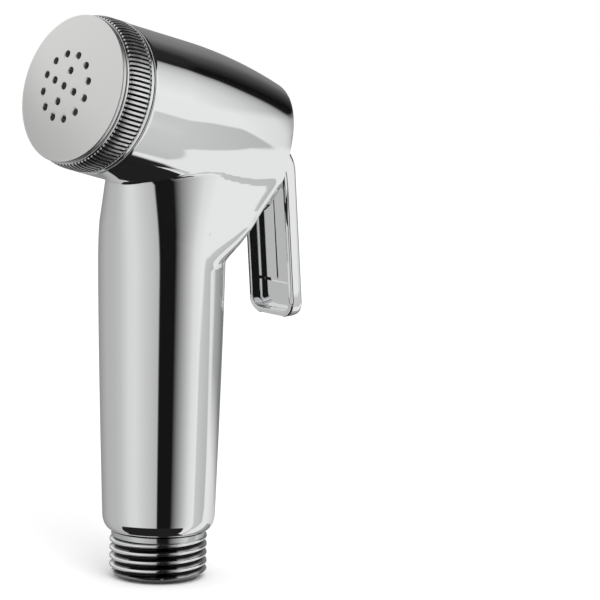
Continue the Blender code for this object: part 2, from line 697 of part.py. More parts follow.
def nose_outline():
    """Side view of the rib that pushes the stem, about the pin."""
    tip_y, tip_z = on_head(STEM_END + GAP)
    tip_y -= PIN_POINT[0]
    tip_z -= PIN_POINT[1]
    back = lever_outer(tip_z + PIN_POINT[1]) - LEVER_WALL / 2 - PIN_POINT[0]
    return arc((tip_y + NOSE_RADIUS, tip_z), NOSE_RADIUS, 270, 90, 6) + [
        (back, tip_z + NOSE_RADIUS), (back, tip_z - NOSE_RADIUS)]


def rib_form():
    """A cross rib near the foot of the channel, about the pin."""
    bm = bmesh.new()
    middle = CROSS_RIB_Z - PIN_POINT[1]
    back = lever_outer(CROSS_RIB_Z) - LEVER_WALL / 2 - PIN_POINT[0]
    size = (2 * LEVER_HALF_WIDTH - LEVER_WALL, CROSS_RIB_DEPTH + LEVER_WALL / 2, RIB_THICKNESS)
    place = Matrix.Translation((0, back - size[1] / 2, middle)) @ Matrix.Diagonal((*size, 1))
    bmesh.ops.create_cube(bm, size=1.0, matrix=place)
    return bm


def make_lever_pin():
    place = Matrix.Translation((0, *PIN_POINT)) @ Matrix.Rotation(math.pi / 2, 4, "Y")
    half = PIN_HALF_LENGTH
    inner = PIN_RADIUS - PIN_EDGE
    profile = [(0, -half), (inner, -half), (PIN_RADIUS, PIN_EDGE - half), (PIN_RADIUS, half - PIN_EDGE),
               (inner, half), (0, half)]
    return finish("lever_pin", turned(profile, PIN_STEPS), steel(), place)


def thread_rod():
    """Rod with the inlet's thread: one pitch of its outline wound up a helix and cut off square."""
    bm = bmesh.new()
    outline = [(THREAD_ROOT, 0.0), (THREAD_ROOT, 0.12), (THREAD_CREST, 0.42), (THREAD_CREST, 0.7),
               (THREAD_ROOT, 1.0)]
    verts = [bm.verts.new((radius, 0, (share - 2) * THREAD_PITCH)) for radius, share in outline]
    edges = [bm.edges.new(pair) for pair in zip(verts, verts[1:])]
    steps = math.ceil((THREAD_LENGTH / THREAD_PITCH + 3) * THREAD_STEPS)
    bmesh.ops.spin(bm, geom=verts + edges, cent=(0, 0, 0), axis=(0, 0, 1), steps=steps,
                   angle=2 * math.pi * steps / THREAD_STEPS,
                   dvec=(0, 0, THREAD_PITCH / THREAD_STEPS))
    bmesh.ops.remove_doubles(bm, verts=bm.verts, dist=0.001 * MM)
    for height, side in ((0.0, -1), (THREAD_LENGTH, 1)):
        geometry = bm.verts[:] + bm.edges[:] + bm.faces[:]
        cut = bmesh.ops.bisect_plane(bm, geom=geometry, dist=SMALL, plane_co=(0, 0, height),
                                     plane_no=(0, 0, side), clear_outer=True)
        rim = [item for item in cut["geom_cut"] if isinstance(item, bmesh.types.BMEdge)]
        bmesh.ops.holes_fill(bm, edges=rim, sides=0)
    return bm


def make_inlet_nipple():
    """Threaded inlet with a spigot that is fixed in the handle and a socket for the tube."""
    nipple = finish("inlet_nipple", thread_rod(), chrome())
    far = THREAD_CREST + THREAD_CHAMFER
    near = THREAD_CREST - THREAD_CHAMFER
    chamfer = [(near, -MM), (far, -MM), (far, far - near), (near, 0)]
    boolean(nipple, cutter("thread_chamfer", turned(chamfer, THREAD_STEPS)))
    groove_low = NIPPLE_SEAL_Z - NIPPLE_SEAL_WIRE - GAP
    groove_high = NIPPLE_SEAL_Z + NIPPLE_SEAL_WIRE + GAP
    spigot = HANDLE_BORE - GAP
    groove = NIPPLE_SEAL_RADIUS - NIPPLE_SEAL_WIRE - GAP / 2
    low = THREAD_LENGTH - COLLAR_LAP
    collar_top = INLET_STUB - GAP
    upper = [(0, low), (NIPPLE_COLLAR, low), (NIPPLE_COLLAR, collar_top), (spigot, collar_top),
             (spigot, groove_low), (groove, groove_low), (groove, groove_high), (spigot, groove_high),
             (spigot, NIPPLE_TOP), (0, NIPPLE_TOP)]
    boolean(nipple, cutter("spigot_upper_form", turned(upper, VALVE_STEPS)), "UNION")
    seat = STRAINER_RADIUS + GAP
    seal_low = TUBE_SEAL_Z - TUBE_SEAL_WIRE - GAP
    seal_high = TUBE_SEAL_Z + TUBE_SEAL_WIRE + GAP
    top = NIPPLE_TOP + MM
    hollow = [(0, -MM), (seat, -MM), (seat, STRAINER_DEPTH), (NIPPLE_BORE, STRAINER_DEPTH),
              (NIPPLE_BORE, TUBE_FOOT - GAP), (TUBE_SOCKET, TUBE_FOOT - GAP), (TUBE_SOCKET, seal_low),
              (TUBE_SEAL_GROOVE, seal_low), (TUBE_SEAL_GROOVE, seal_high), (TUBE_SOCKET, seal_high),
              (TUBE_SOCKET, top), (0, top)]
    boolean(nipple, cutter("nipple_hollow", turned(hollow, VALVE_STEPS)))
    return nipple


def holes_form(radius, low, high, places, sides):
    """Many round cutters of one length, at (x, y) places."""
    bm = bmesh.new()
    for x, y in places:
        place = Matrix.Translation((x, y, (low + high) / 2))
        bmesh.ops.create_cone(bm, cap_ends=True, segments=sides, radius1=radius, radius2=radius,
                              depth=high - low, matrix=place)
    return bm


def ring_places(radius, count, turn=0.0):
    places = []
    for index in range(count):
        angle = turn + 2 * math.pi * index / count
        places.append((radius * math.sin(angle), radius * math.cos(angle)))
    return places


def make_inlet_strainer():
    """Pierced disc that keeps grit out of the valve."""
    low = STRAINER_DEPTH - GAP - STRAINER_WALL
    disc = turned(rod(STRAINER_RADIUS, low, low + STRAINER_WALL), VALVE_STEPS)
    strainer = finish("inlet_strainer", disc, steel())
    places = [(0, 0)] + ring_places(STRAINER_PITCH, 6)
    holes = holes_form(STRAINER_HOLE, 0, 2 * STRAINER_DEPTH, places, 8)
    boolean(strainer, cutter("strainer_holes", holes))
    return strainer


def make_water_tube():
    profile = ring_profile(TUBE_RADIUS - TUBE_WALL, TUBE_RADIUS, TUBE_FOOT, TUBE_TOP)
    return finish("water_tube", turned(profile, VALVE_STEPS), white_plastic())


def make_valve_housing():
    """Valve body on the head's axis: chamber in front, seat, outlet windows and stem guide."""
    shell = [(CAP_BORE, HOUSING_FRONT), (HOUSING_RADIUS, HOUSING_FRONT), (HOUSING_RADIUS, HOUSING_REAR),
             (TAIL_RADIUS, HOUSING_REAR), (TAIL_RADIUS, TAIL_END), (STEM_BORE, TAIL_END),
             (STEM_BORE, OUTLET_END), (OUTLET_RADIUS, OUTLET_END), (OUTLET_RADIUS, SEAT_U + SEAT_WALL),
             (SEAT_RADIUS, SEAT_U + SEAT_WALL), (SEAT_RADIUS, SEAT_U), (CHAMBER_RADIUS, SEAT_U),
             (CHAMBER_RADIUS, CAP_STEP), (CAP_BORE, CAP_STEP)]
    housing = finish("valve_housing", turned(shell, VALVE_STEPS), white_plastic(), head_place())
    socket = turned(rod(TUBE_SOCKET, TUBE_TOP - HOUSING_RADIUS, SOCKET_TOP), VALVE_STEPS)
    boolean(housing, cutter("tube_socket_cut", socket))
    port = turned(rod(PORT_RADIUS, SOCKET_TOP - MM, PORT_TOP), PIN_STEPS)
    boolean(housing, cutter("port_cut", port))
    middle = head_place((OUTLET_END + SEAT_U + SEAT_WALL) / 2)
    for index, angle in enumerate(WINDOW_ANGLES):
        window = turned(rod(WINDOW_RADIUS, OUTLET_RADIUS - MM, HOUSING_RADIUS + MM), 12)
        turn = Matrix.Rotation(math.radians(angle), 4, "Z") @ Matrix.Rotation(math.pi / 2, 4, "X")
        boolean(housing, cutter("window_cut_%d" % index, window, middle @ turn))
    return housing


def make_valve_cap():
    """Plug that closes the front of the valve chamber and carries the spring."""
    plug = CAP_BORE - GAP
    groove_low = CAP_SEAL_U - CAP_SEAL_WIRE - GAP
    groove_high = CAP_SEAL_U + CAP_SEAL_WIRE + GAP
    groove = CAP_SEAL_RADIUS - CAP_SEAL_WIRE - GAP / 2
    profile = [(0, CAP_FRONT), (CAP_FLANGE, CAP_FRONT), (CAP_FLANGE, HOUSING_FRONT - GAP),
               (plug, HOUSING_FRONT - GAP), (plug, groove_low), (groove, groove_low), (groove, groove_high),
               (plug, groove_high), (plug, CAP_STEP - GAP), (0, CAP_STEP - GAP)]
    return finish("valve_cap", turned(profile, VALVE_STEPS), white_plastic(), head_place())


def make_valve_spring():
    """Open coil between the cap and the stem's flange."""
    bm = bmesh.new()
    low = CAP_STEP + SPRING_WIRE
    high = STEM_FLANGE_FRONT - GAP - SPRING_WIRE
    verts = []
    for index in range(6):
        turn = 2 * math.pi * index / 6
        verts.append(bm.verts.new((SPRING_RADIUS + SPRING_WIRE * math.cos(turn), 0,
                                   low + SPRING_WIRE * math.sin(turn))))
    face = bm.faces.new(verts)
    steps = SPRING_TURNS * SPRING_STEPS
    bmesh.ops.spin(bm, geom=[face], cent=(0, 0, 0), axis=(0, 0, 1), steps=steps,
                   angle=2 * math.pi * SPRING_TURNS, dvec=(0, 0, (high - low) / steps))
    return finish("valve_spring", bm, steel(), head_place())


def make_valve_stem():
    """Stem with the flange that presses the seal on its seat."""
    profile = [(0, STEM_NUB), (STEM_NUB_RADIUS, STEM_NUB), (STEM_NUB_RADIUS, STEM_FLANGE_FRONT),
               (STEM_FLANGE, STEM_FLANGE_FRONT), (STEM_FLANGE, SEAL_FRONT - GAP),
               (STEM_RADIUS, SEAL_FRONT - GAP), (STEM_RADIUS, STEM_END - STEM_EDGE),
               (STEM_RADIUS - STEM_EDGE, STEM_END), (0, STEM_END)]
    return finish("valve_stem", turned(profile, VALVE_STEPS), brass(), head_place())


def make_valve_seal():
    profile = ring_profile(STEM_RADIUS + GAP, SEAL_RADIUS, SEAL_FRONT, SEAT_U - GAP)
    return finish("valve_seal", turned(profile, VALVE_STEPS), black_rubber(), head_place())


def make_gland_nut():
    """Hexagon nut that clamps the valve to the head and closes on the stem's seal."""
    low = SLOT_FLOOR + GAP
    inner = [(0, low - MM), (TAIL_RADIUS + GAP, low - MM), (TAIL_RADIUS + GAP, GLAND_WALL_U),
             (STEM_BORE, GLAND_WALL_U), (STEM_BORE, GLAND_END + MM), (0, GLAND_END + MM)]
    bm = bmesh.new()
    corner = GLAND_FLATS / 2 / math.cos(math.pi / 6)
    bmesh.ops.create_cone(bm, cap_ends=True, segments=6, radius1=corner, radius2=corner,
                          depth=GLAND_END - low, matrix=Matrix.Translation((0, 0, (GLAND_END + low) / 2)))
    nut = finish("gland_nut", bm, brass(), head_place())
    boolean(nut, cutter("gland_bore", turned(inner, VALVE_STEPS), head_place()))
    return nut


def make_flow_diffuser():
    """Flanged cup with a ring of holes that spreads the water behind the spray face."""
    skirt = HEAD_CAVITY - GAP
    inside = skirt - DIFFUSER_WALL
    back = DIFFUSER_FLOOR + DIFFUSER_WALL
    flange_back = SPIGOT_FRONT - GAP
    profile = [(0, DIFFUSER_FLOOR), (inside, DIFFUSER_FLOOR), (inside, DIFFUSER_FRONT),
               (SPIGOT_RADIUS, DIFFUSER_FRONT), (SPIGOT_RADIUS, flange_back), (skirt, flange_back),
               (skirt, back), (0, back)]
    cup = finish("flow_diffuser", turned(profile, VALVE_STEPS), white_plastic(), head_place())
    places = ring_places(DIFFUSER_PITCH, 8)
    holes = holes_form(DIFFUSER_HOLE, DIFFUSER_FLOOR - MM, back + MM, places, 8)
    boolean(cup, cutter("diffuser_holes", holes, head_place()))
    return cup


def make_face_gasket():
    low = RING_SHOULDER_U + RING_SHOULDER + GAP
    profile = ring_profile(RING_MOUTH - GAP, RING_BORE - GAP, low, DIFFUSER_FRONT - GAP)
    return finish("face_gasket", turned(profile, VALVE_STEPS), black_rubber(), head_place())


def dome_u(radius):
    """Distance along the axis of the domed face at a radius; the rim lies at zero."""
    rim = math.sqrt(FACE_DOME ** 2 - FACE_RADIUS ** 2)
    return rim - math.sqrt(FACE_DOME ** 2 - radius ** 2)


def make_spray_face_plate():
    """Domed cup pierced with three rings of jets."""
    outside = [(0, dome_u(0))]
    for step in range(1, DOME_STEPS + 1):
        radius = (FACE_RADIUS - FACE_EDGE) * step / DOME_STEPS
        outside.append((radius, dome_u(radius)))
    inside = FACE_SKIRT - FACE_WALL
    end = RING_SHOULDER_U - GAP
    rim = [(FACE_RADIUS, FACE_EDGE), (FACE_RADIUS, FACE_RIM), (FACE_SKIRT, FACE_RIM), (FACE_SKIRT, end),
           (inside, end), (inside, FACE_BACK)]
    profile = outside + rim + [(0, FACE_BACK)]
    plate = finish("spray_face_plate", turned(profile, CAP_STEPS), satin(), head_place())
    places = [(0, 0)]
    places += ring_places(INNER_JET_RING, INNER_JETS, INNER_TURN)
    places += ring_places(OUTER_JET_RING, OUTER_JETS, OUTER_TURN)
    holes = holes_form(HOLE_RADIUS, dome_u(0) - MM, RING_SHOULDER_U, places, 8)
    boolean(plate, cutter("jet_holes", holes, head_place()))
    return plate


def toothed_band():
    """Band of straight knurling: an outline of crests and roots, extruded along the axis."""
    bm = bmesh.new()
    low = RING_FRONT + RING_FRONT_LAND
    high = RING_REAR - RING_REAR_LAND
    verts = []
    for index in range(2 * RING_TEETH):
        radius = RING_CREST if index % 2 else RING_ROOT
        turn = math.pi * index / RING_TEETH
        verts.append(bm.verts.new((radius * math.cos(turn), radius * math.sin(turn), low)))
    face = bm.faces.new(verts)
    moved = bmesh.ops.extrude_face_region(bm, geom=[face])["geom"]
    top = [item for item in moved if isinstance(item, bmesh.types.BMVert)]
    bmesh.ops.translate(bm, vec=(0, 0, high - low), verts=top)
    narrowing = (RING_CREST - RING_CONE) / RING_CREST
    bmesh.ops.scale(bm, vec=(narrowing, narrowing, 1), verts=verts)
    return bm


def make_knurled_ring():
    """Screwed ring: counterbore for the face, shoulder, threaded bore and knurled outside."""
    edge = RING_EDGE
    shoulder_end = RING_SHOULDER_U + RING_SHOULDER
    land = RING_LAND_RADIUS
    front = RING_FRONT_RADIUS
    groove = front - RING_EDGE
    low = RING_FRONT + RING_FRONT_LAND
    high = RING_REAR - RING_REAR_LAND
    profile = [(RING_COUNTERBORE, RING_FRONT), (front - edge, RING_FRONT), (front, RING_FRONT + edge),
               (front, low), (groove, low + edge), (groove, high - edge), (land, high),
               (land, RING_REAR - edge), (land - edge, RING_REAR), (RING_BORE, RING_REAR),
               (RING_BORE, shoulder_end), (RING_MOUTH, shoulder_end), (RING_MOUTH, RING_SHOULDER_U),
               (RING_COUNTERBORE, RING_SHOULDER_U)]
    ring = finish("knurled_ring", toothed_band(), chrome(), head_place())
    bore = turned(rod(groove - edge, -MM, 2 * RING_REAR), CAP_STEPS)
    boolean(ring, cutter("band_bore", bore, head_place()))
    boolean(ring, cutter("ring_form", turned(profile, CAP_STEPS), head_place()), "UNION")
    return ring


def main():
    clear_scene()
    make_body()
    make_lever()
    make_lever_pin()
    make_inlet_nipple()
    make_inlet_strainer()
    o_ring("nipple_o_ring", NIPPLE_SEAL_RADIUS, NIPPLE_SEAL_WIRE, NIPPLE_SEAL_Z)
    make_water_tube()
    o_ring("tube_lower_o_ring", TUBE_SEAL_RADIUS, TUBE_SEAL_WIRE, TUBE_SEAL_Z)
    o_ring("tube_upper_o_ring", TUBE_RADIUS - TUBE_WALL / 2, TUBE_TOP_SEAL_WIRE,
           SOCKET_TOP - TUBE_TOP_SEAL_WIRE - GAP)
    make_valve_housing()
    o_ring("housing_o_ring", HOUSING_SEAL_RADIUS, HOUSING_SEAL_WIRE,
           CAVITY_DEPTH + SEAL_POCKET_DEPTH - HOUSING_SEAL_WIRE - GAP, head_place())
    make_valve_cap()
    o_ring("cap_o_ring", CAP_SEAL_RADIUS, CAP_SEAL_WIRE, CAP_SEAL_U, head_place())
    make_valve_spring()
    make_valve_stem()
    make_valve_seal()
    make_gland_nut()
    o_ring("stem_o_ring", STEM_SEAL_RADIUS, STEM_SEAL_WIRE, GLAND_WALL_U - STEM_SEAL_WIRE - GAP,
           head_place())
    make_flow_diffuser()
    make_face_gasket()
    make_spray_face_plate()
    make_knurled_ring()


main()
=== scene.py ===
"""Chrome handheld bidet sprayer in a white studio.

Lengths are metres and +Z is up, along the handle. The origin is the centre of the inlet
thread's lower end. The spray faces -Y and the thumb lever is on the +Y side. Places along
the head are given by u, the distance behind the rim of the spray face, and v, the height
above the head's own axis.
"""
import math

import bmesh
import bpy
from mathutils import Matrix, Vector


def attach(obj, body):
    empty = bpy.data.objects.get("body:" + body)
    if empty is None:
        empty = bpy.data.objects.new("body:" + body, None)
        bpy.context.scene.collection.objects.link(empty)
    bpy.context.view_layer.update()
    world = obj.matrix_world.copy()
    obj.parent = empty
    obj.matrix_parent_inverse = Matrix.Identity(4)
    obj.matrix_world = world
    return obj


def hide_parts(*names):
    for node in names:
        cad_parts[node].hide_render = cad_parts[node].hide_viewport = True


bl_info = {
    "name": "Handheld bidet sprayer",
    "version": (1, 0, 0),
    "blender": (4, 5, 0),
    "location": "View3D > Sidebar > Sprayer",
    "description": "Models a chrome handheld sprayer and its white studio",
    "category": "Object",
}

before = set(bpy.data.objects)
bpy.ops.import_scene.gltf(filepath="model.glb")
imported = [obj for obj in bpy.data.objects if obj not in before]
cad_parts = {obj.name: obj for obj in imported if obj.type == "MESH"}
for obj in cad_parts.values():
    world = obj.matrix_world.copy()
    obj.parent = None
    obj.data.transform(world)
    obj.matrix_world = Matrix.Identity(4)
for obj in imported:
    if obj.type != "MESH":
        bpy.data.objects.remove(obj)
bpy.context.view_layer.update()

MM = 0.001
SMALL = 1e-7


def length(name, text, value):
    return bpy.props.FloatProperty(name=name, description=text, default=value, unit="LENGTH", precision=5)


def angle(name, text, degrees):
    return bpy.props.FloatProperty(name=name, description=text, default=math.radians(degrees),
                                   subtype="ANGLE")


def share(name, text, value, high=1.0):
    return bpy.props.FloatProperty(name=name, description=text, default=value, min=0.0, max=high)


def count(name, text, value):
    return bpy.props.IntProperty(name=name, description=text, default=value, min=3)


def colour(name, text, value):
    return bpy.props.FloatVectorProperty(name=name, description=text, default=value, subtype="COLOR",
                                         min=0.0, max=1.0)


class HandleSizes(bpy.types.PropertyGroup):
    foot_z: length("Foot height", "Height of the handle's foot above the thread's end", 10.0 * MM)
    foot_radius: length("Foot radius", "Radius of the handle just above its foot", 11.85 * MM)
    top_radius: length("Top radius", "Full radius of the handle", 13.45 * MM)
    full_z: length("Full height", "Height at which the handle has its full radius", 72.0 * MM)
    swell: share("Swell", "Exponent of the swelling from foot to top", 1.4, 3.0)
    round_in: length("Foot rounding in", "How far the foot's rounding goes in", 1.7 * MM)
    round_up: length("Foot rounding up", "How far the foot's rounding goes up", 3.0 * MM)
    bore: length("Bore", "Radius of the handle's bore", 9.2 * MM)
    bore_top: length("Bore top", "Height of the bore's upper end", 94.0 * MM)


class HeadSizes(bpy.types.PropertyGroup):
    tilt: angle("Tilt", "How far the head's front is tilted up", 16.6)
    axis_z: length("Axis height", "Height at which the head's axis crosses the handle's", 98.34 * MM)
    face_reach: length("Face reach", "From that crossing to the rim of the spray face", 25.77 * MM)
    radius: length("Radius", "Radius of the head", 16.3 * MM)
    top_radius: length("Top radius", "Height of the head above its axis", 16.15 * MM)
    side_start: length("Side taper start", "Where the head starts to narrow", 18.0 * MM)
    side_length: length("Side taper length", "Length over which the head narrows", 33.0 * MM)
    side_taper: length("Side taper", "How much the head narrows on each side", 4.4 * MM)
    top_start: length("Top taper start", "Where the head's top starts to fall", 26.0 * MM)
    top_length: length("Top taper length", "Length over which the top falls", 25.0 * MM)
    top_taper: length("Top taper", "How much the head's top falls", 2.8 * MM)
    squareness: share("Squareness", "How far the section turns from round at the rear", 0.4)
    front: length("Front", "Distance of the skin's front edge behind the face's rim", 8.3 * MM)
    front_rounding: length("Front rounding", "Rounding of the skin's front edge", 0.25 * MM)
    spigot_radius: length("Spigot radius", "Radius of the spigot that carries the collar", 14.3 * MM)
    spigot_front: length("Spigot front", "Front end of the spigot behind the face's rim", 5.2 * MM)
    cavity: length("Cavity", "Radius of the head's cavity", 12.6 * MM)
    cavity_depth: length("Cavity depth", "Rear wall of the cavity behind the face's rim", 38.5 * MM)
    fillet: length("Fillet", "Reach of the fillet between head and handle", 0.35 * MM)


class WebSizes(bpy.types.PropertyGroup):
    rear_y: length("Rear Y", "The rear face passes through this Y", 25.6 * MM)
    rear_z: length("Rear Z", "at this height", 90.0 * MM)
    rear_lean: angle("Rear lean", "Lean of the rear face", 11.695)
    rear_rounding: length("Rear rounding", "Rounding of the rear face's edge", 0.6 * MM)
    narrowing: angle("Narrowing", "How much each side turns in towards the back", 5.0)
    draft: angle("Draft", "How much each side turns in towards the head", 4.2)
    draft_z: length("Draft start", "The sides turn in above this height", 75.5 * MM)
    low_y: length("Low Y", "A point of the lower edge near the rear face", 23.9 * MM)
    low_z: length("Low Z", "Height of that point", 82.0 * MM)
    slope: angle("Slope", "Slope of the lower edge", 39.8)
    fillet: length("Fillet", "Reach of the blend from the handle into the web", 8.0 * MM)
    start_z: length("Start", "The handle is straight up to this height", 52.0 * MM)
    growth: length("Growth", "The section turns square over this growth", 5.0 * MM)
    squareness: share("Squareness", "How square the web's section gets", 10.0, 12.0)
    shift: share("Shift", "How far back the web's section is widest", 0.35)


class LeverSizes(bpy.types.PropertyGroup):
    pin_u: length("Pin u", "Distance of the pin behind the face's rim", 48.5 * MM)
    pin_v: length("Pin v", "Height of the pin above the head's axis", 5.6 * MM)
    pin_radius: length("Pin radius", "Radius of the lever's pin", 1.25 * MM)
    half_width: length("Half width", "Half the lever's width", 7.0 * MM)
    wall: length("Wall", "Thickness of the lever's walls", 1.15 * MM)
    lobe: length("Lobe", "Radius of the ears round the pin", 2.9 * MM)
    foot_z: length("Foot", "Height of the lever's lower end", 52.7 * MM)
    corner: length("Corner", "Radius of the lower corners", 3.5 * MM)
    rounding: length("Rounding", "Rounding along the back", 1.4 * MM)
    depth: length("Depth", "Depth of the channel's sides", 3.6 * MM)
    back_y: length("Back Y", "The lever's back passes through this Y", 33.95 * MM)
    back_z: length("Back Z", "at this height", 61.0 * MM)
    lean: angle("Lean", "Lean of the lever's back", 5.0)
    bend_z: length("Bend", "Above this the lever bends in towards its pin", 84.0 * MM)
    ear_z: length("Ears", "Above this the sides grow deeper", 83.0 * MM)
    ear_half: length("Ear half width", "Half the width over the ears", 5.3 * MM)
    neck_low: length("Neck low", "Lower end of the narrowing", 86.0 * MM)
    neck_high: length("Neck high", "Upper end of the narrowing", 91.5 * MM)
    rim_chamfer: length("Rim chamfer", "Chamfer along the channel's outer edge", 0.65 * MM)
    rim_reach: length("Rim chamfer reach", "How much further the chamfer runs down the sides", 0.38 * MM)
    rim_inside: length("Rim inside", "Rounding along the channel's inner edge", 0.15 * MM)
    nose_radius: length("Nose radius", "Radius of the nose that works the stem", 1.4 * MM)
    nose_half: length("Nose half width", "Half the width of that nose", 2.5 * MM)
    clearance: length("Slot clearance", "Room beside the lever in its slot", 0.3 * MM)
    rib_z: length("Cross rib", "Height of the cross rib", 60.0 * MM)
    slot_floor: length("Slot floor", "Distance of the slot's floor behind the face's rim", 43.5 * MM)
    slot_foot: length("Slot foot", "Height of the slot's lower end", 84.5 * MM)
    stem_end: length("Stem end", "Distance of the stem's end behind the face's rim", 49.0 * MM)


class CapSizes(bpy.types.PropertyGroup):
    front_radius: length("Front radius", "Radius of the collar's front edge", 15.65 * MM)
    land: length("Rear radius", "Radius of the collar's rear edge", 16.3 * MM)
    crest: length("Crest radius", "Radius over the knurling's rear end", 16.25 * MM)
    depth: length("Tooth depth", "Depth of the knurling", 0.2 * MM)
    front_land: length("Front land", "Width of the plain edge in front", 0.6 * MM)
    rear_land: length("Rear land", "Width of the plain edge behind", 0.9 * MM)
    front: length("Front", "Front of the collar behind the face's rim", 1.05 * MM)
    rear: length("Rear", "Rear of the collar behind the face's rim", 8.0 * MM)
    lip: length("Lip", "Inner radius of the lip that holds the spray face", 13.0 * MM)
    lip_front: length("Lip front", "Front of that lip behind the face's rim", 1.9 * MM)
    lip_rear: length("Lip rear", "Rear of that lip behind the face's rim", 2.7 * MM)
    socket: length("Socket", "Inner radius behind the lip, over the head's spigot", 14.6 * MM)
    teeth: count("Teeth", "Ridges of the knurling", 100)
    face_radius: length("Face radius", "Radius of the spray face", 15.55 * MM)
    face_rim: length("Face rim", "Depth of the spray face's rim", 0.75 * MM)
    face_skirt: length("Face skirt", "Radius of the skirt behind the face's rim", 14.55 * MM)
    dome: length("Dome", "Radius of the face's dome", 52.0 * MM)
    hole: length("Jet radius", "Radius of a jet's hole", 0.75 * MM)
    inner_ring: length("Inner ring", "Radius of the inner ring of jets", 3.5 * MM)
    outer_ring: length("Outer ring", "Radius of the outer ring of jets", 6.95 * MM)
    inner_turn: angle("Inner turn", "How far the inner ring of jets is turned", 75.0)
    outer_turn: angle("Outer turn", "How far the outer ring of jets is turned", 15.0)


class ThreadSizes(bpy.types.PropertyGroup):
    pitch: length("Pitch", "Pitch of the inlet's thread", 25.4 * MM / 14)
    crest: length("Crest", "Radius over the thread", 10.35 * MM)
    root: length("Root", "Radius at the thread's root", 9.2 * MM)
    run: length("Length", "Length of the thread", 9.0 * MM)
    chamfer: length("Chamfer", "Chamfer at the thread's start", 1.3 * MM)
    collar: length("Collar", "Radius of the collar above the thread", 10.0 * MM)
    bore: length("Bore", "Radius of the water way", 5.0 * MM)
    seat: length("Seat", "Radius of the strainer's seat", 7.0 * MM)
    seat_depth: length("Seat depth", "Depth of the strainer's seat", 2.2 * MM)
    top: length("Top", "Height of the nipple's upper end", 26.0 * MM)
    shoulder: length("Shoulder", "Height of the collar's upper side", 9.7 * MM)
    spigot: length("Spigot", "Radius of the spigot in the handle", 8.9 * MM)
    tube: length("Tube socket", "Radius of the socket for the water tube", 6.3 * MM)


class Finishes(bpy.types.PropertyGroup):
    chrome: colour("Chrome", "Colour of the mirror plating", (0.93, 0.935, 0.94))
    satin: colour("Satin plating", "Colour of the satin spray face", (0.86, 0.86, 0.85))
    steel: colour("Steel", "Colour of pin, spring and strainer", (0.62, 0.62, 0.61))
    brass: colour("Brass", "Colour of the valve's turned parts", (0.72, 0.55, 0.28))
    acetal: colour("Acetal", "Colour of the valve's plastic parts", (0.82, 0.82, 0.79))
    rubber: colour("Rubber", "Colour of the seals", (0.02, 0.02, 0.021))
    black: colour("Black acetal", "Colour of the diffuser behind the jets", (0.015, 0.015, 0.015))
    # Painted shade: near-black colour of the knurling's groove faces, standing for the shade in the grooves.
    groove_shade_colour: colour("Recess", "Colour of the plating in the knurling's grooves", (0.02, 0.02, 0.021))
    # Painted shade: near-black colour of the thread's roots, standing for the shade in them.
    painted_root_shade: colour("Thread root", "Colour of the plating in the thread's root", (0.07, 0.07, 0.072))
    mirror: share("Chrome roughness", "Roughness of the mirror plating", 0.035)


class StudioSettings(bpy.types.PropertyGroup):
    backdrop: colour("Backdrop", "Colour of floor and backdrop", (1.0, 1.0, 1.0))
    azimuth: angle("Camera azimuth", "Where the camera stands round the object", 47.87)
    elevation: angle("Camera elevation", "How high the camera stands", 9.796)
    roll: angle("Camera roll", "How far the camera is rolled", 1.04)
    distance: length("Camera distance", "From the aiming point to the camera", 0.95)
    focal_pixels: share("Focal length", "Focal length in pixels of the 600 pixel frame", 4507.9, 9000.0)
    aim_z: length("Aim height", "Height of the point that the framing starts from", 60.0 * MM)
    aim_right: length("Aim right", "The camera aims this far right of that point", 29.229 * MM)
    aim_down: length("Aim down", "The camera aims this far below that point", 0.929 * MM)


SIZE_GROUPS = {"sprayer_handle": HandleSizes, "sprayer_head": HeadSizes, "sprayer_web": WebSizes,
               "sprayer_lever": LeverSizes, "sprayer_cap": CapSizes, "sprayer_thread": ThreadSizes,
               "sprayer_finish": Finishes, "sprayer_studio": StudioSettings}


def clamp01(value):
    return min(max(value, 0.0), 1.0)


def smooth_max(a, b, reach):
    """Larger of two values, with the corner between them rounded over reach."""
    near = max(reach - abs(a - b), 0.0) / reach
    return max(a, b) + near * near * reach / 4


class Plain:
    """The values of a property group, read once so that loops are quick."""

    def __init__(self, group):
        for key in group.bl_rna.properties.keys():
            if key not in {"rna_type", "name"}:
                setattr(self, key, getattr(group, key))


class HeadAxis:
    """Turns u and v on the head into the model's coordinates and back."""

    def __init__(self, head):
        self.cos = math.cos(head.tilt)
        self.sin = math.sin(head.tilt)
        self.face_y = -head.face_reach * self.cos
        self.face_z = head.axis_z + head.face_reach * self.sin
        self.tilt = head.tilt

    def point(self, u, v=0.0):
        return self.face_y + u * self.cos + v * self.sin, self.face_z - u * self.sin + v * self.cos

    def uv(self, y, z):
        dy = y - self.face_y
        dz = z - self.face_z
        return dy * self.cos - dz * self.sin, dy * self.sin + dz * self.cos

    def place(self, u=0.0):
        """Frame on the head's axis at u: local +Z points back along the axis."""
        y, z = self.point(u)
        return Matrix.Translation((0, y, z)) @ Matrix.Rotation(-math.pi / 2 - self.tilt, 4, "X")


